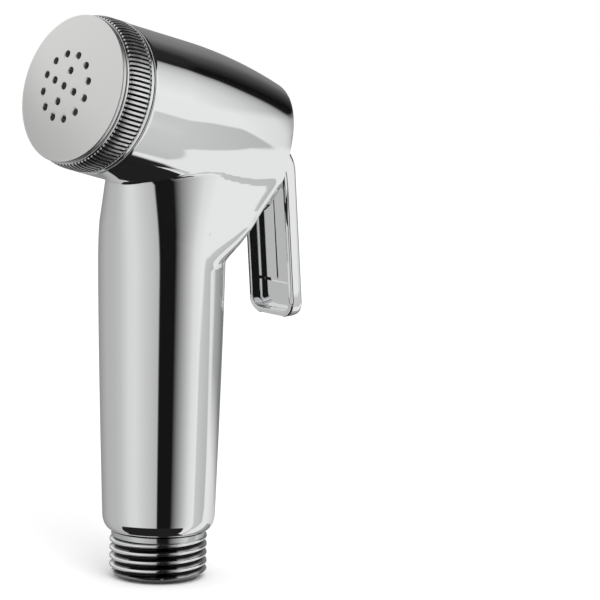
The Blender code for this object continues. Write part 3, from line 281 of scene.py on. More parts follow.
class Skin:
    """The outer skin of handle, web and head as one smooth form."""

    def __init__(self, scene):
        self.handle = Plain(scene.sprayer_handle)
        self.head = Plain(scene.sprayer_head)
        self.web = Plain(scene.sprayer_web)
        self.axis = HeadAxis(self.head)

    def handle_radius(self, z):
        size = self.handle
        below = clamp01((size.full_z - z) / (size.full_z - size.foot_z))
        radius = size.top_radius - (size.top_radius - size.foot_radius) * below ** size.swell
        drop = clamp01((size.foot_z + size.round_up - z) / size.round_up)
        return radius - size.round_in * (1 - math.sqrt(1 - drop * drop))

    def column(self, x, y, z):
        """Signed size of a point against the handle and the web: below zero is inside."""
        radius = self.handle_radius(z)
        web = self.web
        line = web.low_y + (z - web.low_z) / math.tan(web.slope)
        reach = smooth_max(radius, line, web.fillet)
        grown = clamp01((reach - self.handle.top_radius) / web.growth)
        radius -= math.tan(web.draft) * grown * max(0.0, z - web.draft_z)
        widest = web.shift * max(0.0, reach - radius)
        if y <= widest:
            return (math.hypot(x / radius, (y - widest) / (radius + widest)) - 1) * radius
        power = 2 + web.squareness * grown
        width = radius - math.tan(web.narrowing) * (y - widest) * grown
        value = (abs(x) / width) ** power + ((y - widest) / (reach - widest)) ** power
        return (value ** (1 / power) - 1) * radius

    def head_side(self, u):
        size = self.head
        return size.radius - size.side_taper * max(0.0, (u - size.side_start) / size.side_length) ** 2

    def head_form(self, x, y, z):
        size = self.head
        u, v = self.axis.uv(y, z)
        side = max(self.head_side(u), SMALL)
        height = size.radius
        if v > 0:
            fall = size.top_taper * max(0.0, (u - size.top_start) / size.top_length) ** 2
            height = max(size.top_radius - fall, SMALL)
        power = 2 + size.squareness * clamp01((u - size.side_start) / size.side_length) ** 3
        value = (abs(x) / side) ** power + (abs(v) / height) ** power
        return (value ** (1 / power) - 1) * side

    def form(self, point):
        x, y, z = point
        column = max(self.column(x, y, z), self.axis.uv(y, z)[1])
        return -smooth_max(-column, -self.head_form(x, y, z), self.head.fillet)

    def reach(self, centre, direction):
        """Distance from a point inside the body to its skin along a direction."""
        near = 0.0
        far = MM
        while self.form(centre + direction * far) < 0:
            near = far
            far += MM
        for _ in range(20):
            middle = (near + far) / 2
            if self.form(centre + direction * middle) < 0:
                near = middle
            else:
                far = middle
        return near

    def planes(self):
        """Centre and lean of each section of the skin, from the foot to the front.

        The sections lie level up the handle, then fan out round a pivot that passes the inner
        corner between handle and head, and end square to the head's axis.
        """
        handle = self.handle
        planes = []
        rounding = 8
        for step in range(rounding + 1):
            turn = math.pi / 2 * step / rounding
            planes.append((0.0, handle.foot_z + handle.round_up * (1 - math.cos(turn)), 0.0))
        low = handle.foot_z + handle.round_up
        straight = 14
        for step in range(1, straight + 1):
            planes.append((0.0, low + (self.web.start_z - low) * step / straight, 0.0))
        front_y = -handle.top_radius
        corner_z = self.head.axis_z - front_y * math.tan(self.head.tilt)
        corner_z -= self.head.radius / math.cos(self.head.tilt)
        below_corner = 7.5 * MM
        ahead_corner = 1.5 * MM
        fan_low = math.radians(30.0)
        leaning = 14
        for step in range(1, leaning + 1):
            part = step / leaning
            pivot_z = self.web.start_z + (corner_z - below_corner - self.web.start_z) * part
            planes.append(self.fan_plane(front_y, pivot_z, -fan_low * part, self.handle.top_radius))
        fan = fan_low + math.pi / 2 - self.head.tilt
        turns = 72
        corner_part = 0.42
        for step in range(1, turns + 1):
            part = step / turns
            below = below_corner * max(0.0, 1 - part / corner_part)
            past = max(0.0, part - corner_part) / (1 - corner_part)
            ahead = ahead_corner * past
            pivot_z = corner_z - below + ahead * math.tan(self.head.tilt)
            onto_axis = -self.axis.uv(front_y - ahead, pivot_z)[1]
            reach = self.handle.top_radius
            reach += (onto_axis - reach) * past
            planes.append(self.fan_plane(front_y - ahead, pivot_z, -fan_low + fan * part, reach))
        start = self.axis.uv(front_y - ahead_corner, corner_z)[0]
        forward = 10
        end = self.head.front + self.head.front_rounding
        for step in range(1, forward + 1):
            y, z = self.axis.point(start + (end - start) * step / forward)
            planes.append((y, z, math.pi / 2 - self.head.tilt))
        return planes

    def fan_plane(self, pivot_y, pivot_z, lean, reach):
        """A section through a pivot at the inner corner, risen by lean towards the back."""
        return pivot_y + reach * math.cos(lean), pivot_z + reach * math.sin(lean), lean


def ring_edges(ring):
    """Edges of one loop of vertices."""
    members = set(ring)
    return [edge for vert in ring for edge in vert.link_edges
            if edge.other_vert(vert) in members and vert.index <= edge.other_vert(vert).index]


def bridge_all(bm, rings):
    """Join loops of vertices one after another."""
    bm.verts.index_update()
    loops = [ring_edges(ring) for ring in rings]
    for lower, upper in zip(loops, loops[1:]):
        bmesh.ops.bridge_loops(bm, edges=lower + upper)


def piece_from(name, bm, material, smooth_angle=30.0):
    """Finished object at the origin from a bmesh in the model's coordinates."""
    bmesh.ops.remove_doubles(bm, verts=bm.verts, dist=SMALL)
    bmesh.ops.recalc_face_normals(bm, faces=bm.faces)
    mesh = bpy.data.meshes.new(name)
    bm.to_mesh(mesh)
    bm.free()
    mesh.shade_smooth()
    mesh.set_sharp_from_angle(angle=math.radians(smooth_angle))
    if material is not None:
        mesh.materials.append(material)
    piece = bpy.data.objects.new(name, mesh)
    bpy.context.scene.collection.objects.link(piece)
    return piece


def apply_booleans(piece, steps, smooth_angle=30.0):
    """Cut or join bmeshes into the piece, one after another, and keep the result as its mesh."""
    tools = []
    for operation, bm in steps:
        tool = piece_from("tool_%d" % len(tools), bm, None)
        modifier = piece.modifiers.new(tool.name, "BOOLEAN")
        modifier.operation = operation
        modifier.solver = "EXACT"
        modifier.object = tool
        tools.append(tool)
    graph = bpy.context.evaluated_depsgraph_get()
    result = bpy.data.meshes.new_from_object(piece.evaluated_get(graph))
    piece.modifiers.clear()
    old = piece.data
    piece.data = result
    bpy.data.meshes.remove(old)
    for tool in tools:
        mesh = tool.data
        bpy.data.objects.remove(tool)
        bpy.data.meshes.remove(mesh)
    result.name = piece.name
    result.shade_smooth()
    result.set_sharp_from_angle(angle=math.radians(smooth_angle))


def turned(profile, steps, place=None):
    """Solid turned about Z from (radius, height) points; it closes by itself off the axis."""
    bm = bmesh.new()
    verts = [bm.verts.new((radius, 0, height)) for radius, height in profile]
    edges = [bm.edges.new(pair) for pair in zip(verts, verts[1:])]
    if profile[0][0] > 0 or profile[-1][0] > 0:
        edges.append(bm.edges.new((verts[-1], verts[0])))
    bmesh.ops.spin(bm, geom=verts + edges, cent=(0, 0, 0), axis=(0, 0, 1), angle=2 * math.pi,
                   steps=steps, use_merge=True)
    if place is not None:
        bmesh.ops.transform(bm, matrix=place, verts=bm.verts)
    bmesh.ops.remove_doubles(bm, verts=bm.verts, dist=SMALL)
    bmesh.ops.recalc_face_normals(bm, faces=bm.faces)
    return bm


def rod(radius, low, high):
    return [(0, low), (radius, low), (radius, high), (0, high)]


def extruded(outline, half_width):
    """Prism of a (y, z) outline, from -half_width to +half_width along X."""
    bm = bmesh.new()
    verts = [bm.verts.new((-half_width, y, z)) for y, z in outline]
    face = bm.faces.new(verts)
    moved = bmesh.ops.extrude_face_region(bm, geom=[face])["geom"]
    top = [item for item in moved if isinstance(item, bmesh.types.BMVert)]
    bmesh.ops.translate(bm, vec=(2 * half_width, 0, 0), verts=top)
    bmesh.ops.recalc_face_normals(bm, faces=bm.faces)
    return bm


def arc(centre, radius, start, end, steps):
    """Points along an arc, angles in degrees."""
    points = []
    for index in range(steps + 1):
        turn = math.radians(start + (end - start) * index / steps)
        points.append((centre[0] + radius * math.cos(turn), centre[1] + radius * math.sin(turn)))
    return points


def rounded_profile(points, radius, steps=4):
    """Profile with each corner that has a radius rounded off."""
    result = []
    total = len(points)
    for index, (x, y, wanted) in enumerate(points):
        before = Vector(points[index - 1][:2]) - Vector((x, y))
        after = Vector(points[(index + 1) % total][:2]) - Vector((x, y))
        size = radius * wanted
        if size <= 0:
            result.append((x, y))
            continue
        cosine = before.normalized().dot(after.normalized())
        half = math.acos(max(-1.0, min(1.0, cosine))) / 2
        cut = min(size / math.tan(half), before.length * 0.49, after.length * 0.49)
        first = Vector((x, y)) + before.normalized() * cut
        last = Vector((x, y)) + after.normalized() * cut
        for step in range(steps + 1):
            t = step / steps
            middle = first * (1 - t) ** 2 + Vector((x, y)) * 2 * t * (1 - t) + last * t ** 2
            result.append((middle.x, middle.y))
    return result


def shader_material(name, colour_value, metallic, roughness):
    """Principled material with the plain values on the shader's own sockets."""
    material = bpy.data.materials.new(name)
    material.use_nodes = True
    shader = material.node_tree.nodes["Principled BSDF"]
    shader.inputs["Base Color"].default_value = (*colour_value, 1.0)
    shader.inputs["Metallic"].default_value = metallic
    shader.inputs["Roughness"].default_value = roughness
    return material, shader


def noise(tree, scale, detail, stretch=(1, 1, 1)):
    """Noise over Object coordinates, stretched by a Mapping node."""
    coordinates = tree.nodes.new("ShaderNodeTexCoord")
    mapping = tree.nodes.new("ShaderNodeMapping")
    mapping.inputs["Scale"].default_value = stretch
    texture = tree.nodes.new("ShaderNodeTexNoise")
    texture.inputs["Scale"].default_value = scale
    texture.inputs["Detail"].default_value = detail
    tree.links.new(coordinates.outputs["Object"], mapping.inputs["Vector"])
    tree.links.new(mapping.outputs["Vector"], texture.inputs["Vector"])
    return texture.outputs["Fac"]


def ranged(tree, value, low, high):
    """The value's range from 0.3 to 0.7 spread from low to high."""
    spread = tree.nodes.new("ShaderNodeMapRange")
    spread.inputs["From Min"].default_value = 0.3
    spread.inputs["From Max"].default_value = 0.7
    spread.inputs["To Min"].default_value = low
    spread.inputs["To Max"].default_value = high
    tree.links.new(value, spread.inputs["Value"])
    return spread.outputs["Result"]


def distance_from_axis(tree):
    """Distance of the shaded point from the handle's axis, which is the thread's too."""
    coordinates = tree.nodes.new("ShaderNodeTexCoord")
    level = tree.nodes.new("ShaderNodeVectorMath")
    level.operation = "MULTIPLY"
    level.inputs[1].default_value = (1, 1, 0)
    tree.links.new(coordinates.outputs["Object"], level.inputs[0])
    out = tree.nodes.new("ShaderNodeVectorMath")
    out.operation = "LENGTH"
    tree.links.new(level.outputs["Vector"], out.inputs[0])
    return out.outputs["Value"]


def add_bump(tree, shader, value, strength, distance):
    bump = tree.nodes.new("ShaderNodeBump")
    bump.inputs["Strength"].default_value = strength
    bump.inputs["Distance"].default_value = distance
    tree.links.new(value, bump.inputs["Height"])
    tree.links.new(bump.outputs["Normal"], shader.inputs["Normal"])


def grained(name, colour_value, metallic, rough, scale, detail, stretch=(1, 1, 1), bump=None):
    """Material whose roughness varies with a noise over the piece; bump raises the same grain."""
    if name in bpy.data.materials:
        return bpy.data.materials[name]
    material, shader = shader_material(name, colour_value, metallic, sum(rough) / 2)
    tree = material.node_tree
    grain = noise(tree, scale, detail, stretch)
    tree.links.new(ranged(tree, grain, *rough), shader.inputs["Roughness"])
    if bump is not None:
        add_bump(tree, shader, grain, *bump)
    return material


def mirror_chrome():
    """Bright plating: nearly a mirror, with a faint uneven haze."""
    finish = bpy.context.scene.sprayer_finish
    rough = (finish.mirror * 0.7, finish.mirror * 1.5)
    return grained("mirror_chrome", finish.chrome, 1.0, rough, 60.0, 3.0)


def recess_plating():
    """Painted shade in the knurling's narrow grooves: a near-black colour for the shade there, with a dull
    roughness.
    """
    return grained("recess_plating", bpy.context.scene.sprayer_finish.groove_shade_colour, 1.0, (0.34, 0.5), 700.0, 3.0)


def knurl_plating():
    """Plating on the knurling's crests: rounded by polishing, so it reflects softly."""
    return grained("knurl_plating", bpy.context.scene.sprayer_finish.chrome, 1.0, (0.3, 0.44), 700.0, 3.0)


def thread_chrome():
    """Plating on machined brass with turning marks along the thread, and painted shade: the colour darkens
    towards the roots.
    """
    finish = bpy.context.scene.sprayer_finish
    thread = bpy.context.scene.sprayer_thread
    material = grained("thread_chrome", finish.chrome, 1.0, (0.07, 0.16), 300.0, 2.0, (1, 1, 12))
    tree = material.node_tree
    # Painted shade: the base colour runs from chrome at the crests to near-black at the roots, for the shade
    # there.
    bright = tree.nodes.new("ShaderNodeMapRange")
    bright.inputs["From Min"].default_value = thread.root + 0.2 * MM
    bright.inputs["From Max"].default_value = thread.crest - 0.15 * MM
    tree.links.new(distance_from_axis(tree), bright.inputs["Value"])
    shades = tree.nodes.new("ShaderNodeValToRGB")
    shades.color_ramp.elements[0].color = (*finish.painted_root_shade, 1)
    shades.color_ramp.elements[1].color = (*finish.chrome, 1)
    tree.links.new(bright.outputs["Result"], shades.inputs["Fac"])
    tree.links.new(shades.outputs["Color"], tree.nodes["Principled BSDF"].inputs["Base Color"])
    return material


def satin_plating():
    """Satin plating of the spray face: a fine even matt."""
    return grained("satin_plating", bpy.context.scene.sprayer_finish.satin, 1.0, (0.32, 0.42), 2600.0, 4.0,
                   bump=(0.12, 0.04 * MM))


def drawn_steel():
    """Drawn wire and sheet, with marks across X."""
    return grained("drawn_steel", bpy.context.scene.sprayer_finish.steel, 1.0, (0.18, 0.34), 900.0, 3.0,
                   (0.2, 1, 1))


def turned_brass():
    """Bare brass with the marks of the lathe."""
    return grained("turned_brass_marks", bpy.context.scene.sprayer_finish.brass, 1.0, (0.22, 0.4), 700.0, 3.0,
                   (1, 6, 1), bump=(0.1, 0.05 * MM))


def moulded_acetal():
    """Pale moulded plastic with a fine grain."""
    return grained("moulded_acetal", bpy.context.scene.sprayer_finish.acetal, 0.0, (0.36, 0.5), 800.0, 4.0,
                   bump=(0.08, 0.05 * MM))


def black_acetal():
    """The same plastic in black, seen through the jets."""
    return grained("black_acetal", bpy.context.scene.sprayer_finish.black, 0.0, (0.42, 0.6), 800.0, 4.0,
                   bump=(0.08, 0.05 * MM))


def soft_rubber():
    """Dull black rubber of the seals."""
    return grained("soft_rubber", bpy.context.scene.sprayer_finish.rubber, 0.0, (0.55, 0.8), 1500.0, 4.0,
                   bump=(0.15, 0.05 * MM))


def finish_piece(piece, body, slot, *nodes):
    """The piece moves with the body and stands for the nodes, which it hides; slot is not used."""
    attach(piece, body)
    if nodes:
        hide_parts(*nodes)


class SPRAYER_OT_body(bpy.types.Operator):
    """Model handle, web and head in one piece, with the spigot, the bores and the lever's slot"""
    bl_idname = "sprayer.body"
    bl_label = "Body"

    def execute(self, context):
        skin = Skin(context.scene)
        bm = bmesh.new()
        segments = 208
        rings = []
        for y, z, lean in skin.planes():
            ring = bmesh.ops.create_circle(bm, segments=segments, radius=1.0)["verts"]
            centre = Vector((0, y, z))
            back = Vector((0, math.cos(lean), math.sin(lean)))
            reaches = {}
            for index, vert in enumerate(ring):
                turn = 2 * math.pi * index / segments
                direction = back * math.cos(turn) + Vector((1, 0, 0)) * math.sin(turn)
                mirrored = min(index, segments - index)
                if mirrored not in reaches:
                    reaches[mirrored] = skin.reach(centre, direction)
                vert.co = centre + direction * reaches[mirrored]
            rings.append(ring)
        rings += self.front_edge(bm, skin, rings[-1])
        bridge_all(bm, rings)
        bmesh.ops.holes_fill(bm, edges=ring_edges(rings[0]) + ring_edges(rings[-1]), sides=0)
        bmesh.ops.recalc_face_normals(bm, faces=bm.faces)
        self.cut_rear(bm, skin)
        body = piece_from("handle_and_head", bm, mirror_chrome(), 32.0)
        apply_booleans(body, self.cuts(context, skin), 32.0)
        finish_piece(body, "sprayer", "chrome_plate", "body")
        return {"FINISHED"}

    def front_edge(self, bm, skin, last):
        """Rings that round the front edge of the skin."""
        axis = skin.axis
        edge = skin.head.front_rounding
        centre = Vector((0, *axis.point(skin.head.front + edge)))
        forward = Vector((0, -axis.cos, axis.sin))
        rings = []
        for step in range(1, 5):
            turn = math.pi / 2 * step / 4
            ring = bmesh.ops.create_circle(bm, segments=len(last), radius=1.0)["verts"]
            for vert, old in zip(ring, last):
                out = old.co - centre
                inward = edge * (1 - math.cos(turn)) / out.length
                vert.co = centre + out * (1 - inward) + forward * edge * math.sin(turn)
            rings.append(ring)
        return rings

    def cut_rear(self, bm, skin):
        """Cut head and web off at the flat rear face and round the edge."""
        web = skin.web
        normal = Vector((0, math.cos(web.rear_lean), -math.sin(web.rear_lean)))
        upper = [face for face in bm.faces if all(vert.co.z > web.start_z for vert in face.verts)]
        geometry = list({item for face in upper for item in [*face.verts, *face.edges, face]})
        cut = bmesh.ops.bisect_plane(bm, geom=geometry, dist=SMALL, plane_co=(0, web.rear_y, web.rear_z),
                                     plane_no=normal, clear_outer=True)
        rim = [item for item in cut["geom_cut"] if isinstance(item, bmesh.types.BMEdge)]
        bmesh.ops.holes_fill(bm, edges=rim, sides=0)
        bmesh.ops.recalc_face_normals(bm, faces=bm.faces)
        rim = [edge for edge in rim if edge.is_valid]
        bmesh.ops.bevel(bm, geom=rim, offset=web.rear_rounding, offset_type="OFFSET", segments=5,
                        profile=0.5, affect="EDGES", material=-1, clamp_overlap=True)

    def cuts(self, context, skin):
        """Spigot, cavity, bore, the lever's slot with its mouth, the pin's hole and the tail's hole."""
        head = skin.head
        handle = skin.handle
        axis = skin.axis
        lever = Plain(context.scene.sprayer_lever)
        spigot = turned(rod(head.spigot_radius, head.spigot_front, head.front + MM), 104, axis.place())
        cavity = turned(rod(head.cavity, -MM, head.cavity_depth), 96, axis.place())
        bore = turned(rod(handle.bore, 0, handle.bore_top), 92)
        pin = axis.point(lever.pin_u, lever.pin_v)
        radius = lever.lobe + 0.4 * MM
        roof = arc(pin, radius, 55, 150, 16)
        foot_z = lever.slot_foot + lever.clearance
        foot_v = (foot_z - axis.face_z + lever.slot_floor * axis.sin) / axis.cos
        far = pin[0] + 20 * MM
        roof_end = roof[0][1] - (far - roof[0][0]) * math.tan(math.radians(35))
        outline = [(far, roof_end)] + roof + [axis.point(lever.slot_floor, lever.pin_v + radius),
                                              axis.point(lever.slot_floor, foot_v), (far, foot_z)]
        slot = extruded(outline, lever.ear_half + lever.clearance)
        mouth_y = 21.5 * MM
        mouth_z = 93.0 * MM
        mouth = extruded([(mouth_y, mouth_z), (mouth_y, lever.slot_foot), (far, lever.slot_foot),
                          (far, mouth_z)], lever.half_width + lever.clearance)
        side = Matrix.Translation((8.9 * MM, *pin)) @ Matrix.Rotation(-math.pi / 2, 4, "Y")
        hole = turned(rod(lever.pin_radius + 0.05 * MM, 0, 30 * MM), 40, side)
        tail = turned(rod(3.5 * MM, head.cavity_depth - MM, lever.slot_floor + MM), 48, axis.place())
        removed = (cavity, bore, slot, mouth, hole, tail)
        return [("UNION", spigot)] + [("DIFFERENCE", tool) for tool in removed]


class SPRAYER_OT_collar(bpy.types.Operator):
    """Model the knurled collar ring"""
    bl_idname = "sprayer.collar"
    bl_label = "Collar ring"

    def execute(self, context):
        cap = Plain(context.scene.sprayer_cap)
        axis = HeadAxis(Plain(context.scene.sprayer_head))
        low = cap.front + cap.front_land
        high = cap.rear - cap.rear_land
        edge = 0.2 * MM
        gap = 0.12 * MM
        inner = cap.face_skirt + 0.15 * MM
        front_groove = cap.front_radius - 0.3 * MM
        rear_groove = cap.land - 0.5 * MM
        plain_front = rounded_profile(
            [(inner, cap.lip_front, 0), (inner, cap.front, 0.6), (cap.front_radius, cap.front, 1),
             (cap.front_radius, low - gap, 0.6), (front_groove, low - gap / 2, 0.3),
             (front_groove, low + gap / 2, 0)], edge)
        plain_rear = rounded_profile(
            [(rear_groove, high - gap / 2, 0), (rear_groove, high + gap / 2, 0.3),
             (cap.land, high + gap, 0.6), (cap.land, cap.rear, 1), (cap.socket, cap.rear, 0.6),
             (cap.socket, cap.lip_rear, 0), (cap.lip, cap.lip_rear, 0), (cap.lip, cap.lip_front, 0)], edge)
        shape = (0.0, 0.5, 1.0, 1.0, 1.0, 1.0, 1.0, 0.5)
        per_tooth = len(shape)
        segments = cap.teeth * per_tooth
        bm = bmesh.new()
        in_groove = {}
        rings = [self.ring(bm, segments, radius, u) for radius, u in plain_front]
        slope = 0.16 * MM
        band_low = low + gap
        band_high = high - gap
        stations = [(band_low, 0.0), (band_low + slope / 2, 0.6), (band_low + slope, 0.9)]
        stations += [(band_low + 2 * slope + (band_high - band_low - 4 * slope) * step / 6, 1.0)
                     for step in range(7)]
        stations += [(band_high - slope, 0.9), (band_high - slope / 2, 0.6), (band_high, 0.0)]
        for u, rise in stations:
            part = (u - band_low) / (band_high - band_low)
            groove = front_groove + (rear_groove - front_groove) * part
            crest = cap.front_radius + (cap.crest - cap.front_radius) * min(1.0, part * 2.5) ** 0.6
            ring = self.ring(bm, segments, 1.0, u)
            for index, vert in enumerate(ring):
                tooth = crest - cap.depth * (1 - shape[index % per_tooth])
                radius = groove + (tooth - groove) * rise
                vert.co.x *= radius
                vert.co.y *= radius
                in_groove[vert] = shape[index % per_tooth] < 1
            rings.append(ring)
        rings += [self.ring(bm, segments, radius, u) for radius, u in plain_rear]
        bridge_all(bm, rings)
        bmesh.ops.bridge_loops(bm, edges=ring_edges(rings[-1]) + ring_edges(rings[0]))
        # Groove faces get the painted groove shade, a near-black colour for the shade there; the crests get
        # the softer knurl plating.
        for face in bm.faces:
            known = [in_groove.get(vert) for vert in face.verts]
            if None not in known:
                face.material_index = 1 if any(known) else 2
        bmesh.ops.transform(bm, matrix=axis.place(), verts=bm.verts)
        collar = piece_from("collar_ring", bm, mirror_chrome(), 24.0)
        collar.data.materials.append(recess_plating())
        collar.data.materials.append(knurl_plating())
        finish_piece(collar, "collar", "chrome_plate", "knurled_ring")
        return {"FINISHED"}

    def ring(self, bm, segments, radius, u):
        place = Matrix.Translation((0, 0, u))
        return bmesh.ops.create_circle(bm, segments=segments, radius=radius, matrix=place)["verts"]


class SPRAYER_OT_face(bpy.types.Operator):
    """Model the domed spray face with its jets"""
    bl_idname = "sprayer.face"
    bl_label = "Spray face"

    def execute(self, context):
        cap = Plain(context.scene.sprayer_cap)
        axis = HeadAxis(Plain(context.scene.sprayer_head))
        rim = math.sqrt(cap.dome ** 2 - cap.face_radius ** 2)

        def dome_u(radius):
            return rim - math.sqrt(cap.dome ** 2 - radius ** 2)

        steps = 24
        edge = 0.35 * MM
        radii = [(cap.face_radius - edge) * step / steps for step in range(steps + 1)]
        outside = [(radius, dome_u(radius)) for radius in radii]
        last = outside[-1]
        corner = [(last[0] + edge * math.sin(turn), last[1] + edge * (1 - math.cos(turn)))
                  for turn in (0.35, 0.7, 1.05, 1.35, math.pi / 2)]
        inside = cap.face_skirt - 1.5 * MM
        back = [(cap.face_radius, cap.face_rim), (cap.face_skirt, cap.face_rim), (cap.face_skirt, 1.6 * MM),
                (inside, 1.6 * MM), (inside, 0.4 * MM), (0, 0.4 * MM)]
        solid = turned(outside + corner + back, 128, axis.place())
        plate = piece_from("spray_face", solid, satin_plating(), 40.0)
        holes = bmesh.new()
        for ring_radius, jets, first in ((0.0, 1, 0.0), (cap.inner_ring, 4, cap.inner_turn),
                                         (cap.outer_ring, 12, cap.outer_turn)):
            for index in range(jets):
                turn = first + 2 * math.pi * index / jets
                u = dome_u(ring_radius)
                flare = 0.14 * MM
                profile = [(0, u - MM), (cap.hole + flare + MM, u - MM), (cap.hole, u + flare),
                           (cap.hole, 2 * MM), (0, 2 * MM)]
                place = axis.place() @ Matrix.Translation((ring_radius * math.sin(turn),
                                                           ring_radius * math.cos(turn), 0))
                jet = turned(profile, 28, place)
                mesh = bpy.data.meshes.new("jet")
                jet.to_mesh(mesh)
                jet.free()
                holes.from_mesh(mesh)
                bpy.data.meshes.remove(mesh)
        apply_booleans(plate, [("DIFFERENCE", holes)], 40.0)
        finish_piece(plate, "collar", "satin_plate", "spray_face_plate")
        return {"FINISHED"}


class SPRAYER_OT_lever(bpy.types.Operator):
    """Model the thumb lever, a channel open towards the handle"""
    bl_idname = "sprayer.lever"
    bl_label = "Thumb lever"

    def execute(self, context):
        size = Plain(context.scene.sprayer_lever)
        axis = HeadAxis(Plain(context.scene.sprayer_head))
        pin_y, pin_z = axis.point(size.pin_u, size.pin_v)
        levels = [size.foot_z + size.corner * (1 - math.cos(math.pi / 2 * step / 10)) for step in range(11)]
        levels += [levels[-1] + (size.bend_z - levels[-1]) * step / 10 for step in range(1, 11)]
        levels += [size.bend_z + (pin_z - size.bend_z) * step / 16 for step in range(1, 17)]
        levels += [pin_z + size.lobe * math.sin(math.radians(turn))
                   for turn in (12, 24, 36, 48, 58, 68, 76)]
        bm = bmesh.new()
        rows = [self.section(bm, size, pin_y, pin_z, z) for z in levels]
        for row in rows:
            for pair in zip(row, row[1:]):
                bm.edges.new(pair)
        for lower, upper in zip(rows, rows[1:]):
            edges = [edge for row in (lower, upper) for pair in zip(row, row[1:])
                     for edge in pair[0].link_edges if edge.other_vert(pair[0]) is pair[1]]
            bmesh.ops.bridge_loops(bm, edges=edges)
        bm.faces.new(rows[0])
        bmesh.ops.recalc_face_normals(bm, faces=bm.faces)
        outward = sum(face.normal.y * face.calc_area() for face in bm.faces)
        if outward < 0:
            bmesh.ops.reverse_faces(bm, faces=bm.faces)
        bmesh.ops.solidify(bm, geom=bm.faces[:], thickness=size.wall)
        bmesh.ops.recalc_face_normals(bm, faces=bm.faces)
        rim = [edge for edge in bm.edges if len(edge.link_faces) == 2
               and edge.calc_face_angle(0.0) > math.radians(60)
               and min(vert.co.y for vert in edge.verts) < self.rim_y(size, pin_y, pin_z, edge) + 0.4 * MM]
        outer = [edge for edge in rim if self.faces_out(edge)]
        chamfer = bmesh.ops.bevel(bm, geom=outer, offset=size.rim_chamfer, offset_type="OFFSET", segments=1,
                                  profile=0.5, affect="EDGES", material=-1, clamp_overlap=True)["faces"]
        behind = {vert for face in chamfer for vert in face.verts
                  if vert.co.y > face.calc_center_median().y}
        bmesh.ops.translate(bm, verts=list(behind), vec=(0, size.rim_reach, 0))
        inner = [edge for edge in rim if edge.is_valid and edge not in outer]
        bmesh.ops.bevel(bm, geom=inner, offset=size.rim_inside, offset_type="OFFSET", segments=3,
                        profile=0.5, affect="EDGES", material=-1, clamp_overlap=True)
        lever = piece_from("thumb_lever", bm, mirror_chrome(), 30.0)
        apply_booleans(lever, self.fittings(size, axis, pin_y, pin_z), 40.0)
        finish_piece(lever, "lever", "chrome_plate", "lever")
        return {"FINISHED"}

    def faces_out(self, edge):
        """True for the rim's outer edge: a face beside it looks away from the channel."""
        middle = (edge.verts[0].co + edge.verts[1].co) / 2
        away = Vector((middle.x, 0, min(0.0, middle.z - 60 * MM)))
        return max(face.normal.dot(away.normalized()) for face in edge.link_faces) > 0.3

    def rim_y(self, size, pin_y, pin_z, edge):
        z = (edge.verts[0].co.z + edge.verts[1].co.z) / 2
        return self.front(size, pin_y, pin_z, z)

    def back(self, size, pin_y, pin_z, z):
        """Y of the lever's back at height z."""
        rise = clamp01((z - size.bend_z) / (pin_z - size.bend_z))
        straight = size.back_y - (z - size.back_z) * math.tan(size.lean)
        return straight + (pin_y + size.lobe - straight) * rise * rise

    def front(self, size, pin_y, pin_z, z):
        """Y of the channel's open edge at height z."""
        rise = clamp01((z - size.ear_z) / (pin_z - size.ear_z))
        return self.back(size, pin_y, pin_z, z) - size.depth - (2 * size.lobe - size.depth) * rise

    def section(self, bm, size, pin_y, pin_z, z):
        """One horizontal section of the outside, from rim to rim round the back."""
        drop = clamp01((size.foot_z + size.corner - z) / size.corner)
        corner = size.corner * (1 - math.sqrt(1 - drop * drop))
        neck = clamp01((z - size.neck_low) / (size.neck_high - size.neck_low))
        neck = neck * neck * (3 - 2 * neck)
        half = size.half_width - corner - (size.half_width - size.ear_half) * neck
        back = self.back(size, pin_y, pin_z, z)
        front = self.front(size, pin_y, pin_z, z)
        above = z - pin_z
        if above > 0:
            reach = math.sqrt(max(size.lobe ** 2 - above * above, 0.0))
            back = pin_y + reach
            front = pin_y - reach
        drop = clamp01((size.foot_z + size.rounding - z) / size.rounding)
        back -= size.rounding * (1 - math.sqrt(1 - drop * drop))
        radius = min(size.rounding, (back - front) / 2)
        points = [(-half, front + (back - radius - front) * step / 6) for step in range(6)]
        points += arc((-half + radius, back - radius), radius, 180, 90, 8)
        flat = [-half + radius + 2 * (half - radius) * step / 12 for step in range(1, 12)]
        points += [(x, back) for x in flat]
        points += arc((half - radius, back - radius), radius, 90, 0, 8)
        points += [(half, back - radius + (front - back + radius) * step / 6) for step in range(1, 7)]
        return [bm.verts.new((x, y, z)) for x, y in points]

    def fittings(self, size, axis, pin_y, pin_z):
        """Pin hole, the nose that works the stem, and the ribs on the channel's floor."""
        turn = Matrix.Translation((0, pin_y, pin_z)) @ Matrix.Rotation(math.pi / 2, 4, "Y")
        hole = turned(rod(size.pin_radius + 0.05 * MM, -8 * MM, 8 * MM), 32, turn)
        tip_y, tip_z = axis.point(size.stem_end + 0.3 * MM)
        root = [(self.back(size, pin_y, pin_z, z) - size.wall * 0.6, z)
                for z in (tip_z + size.nose_radius, tip_z - size.nose_radius)]
        outline = arc((tip_y + size.nose_radius, tip_z), size.nose_radius, 270, 90, 16)
        nose = extruded(outline + root, size.nose_half)
        floor = self.back(size, pin_y, pin_z, size.rib_z) - size.wall / 2
        cross = self.block((2 * size.half_width - 1.4 * MM, 0.9 * MM, 0.7 * MM),
                           (0, floor - 0.45 * MM, size.rib_z))
        corners = []
        for z in (size.rib_z, size.bend_z + 2 * MM):
            y = self.back(size, pin_y, pin_z, z) - size.wall / 2
            corners += [(y, z), (y - 0.8 * MM, z)]
        spine = extruded([corners[0], corners[1], corners[3], corners[2]], 0.22 * MM)
        return [("UNION", nose), ("UNION", cross), ("UNION", spine), ("DIFFERENCE", hole)]

    def block(self, size, centre):
        bm = bmesh.new()
        place = Matrix.Translation(centre) @ Matrix.Diagonal((*size, 1))
        bmesh.ops.create_cube(bm, size=1.0, matrix=place)
        return bm


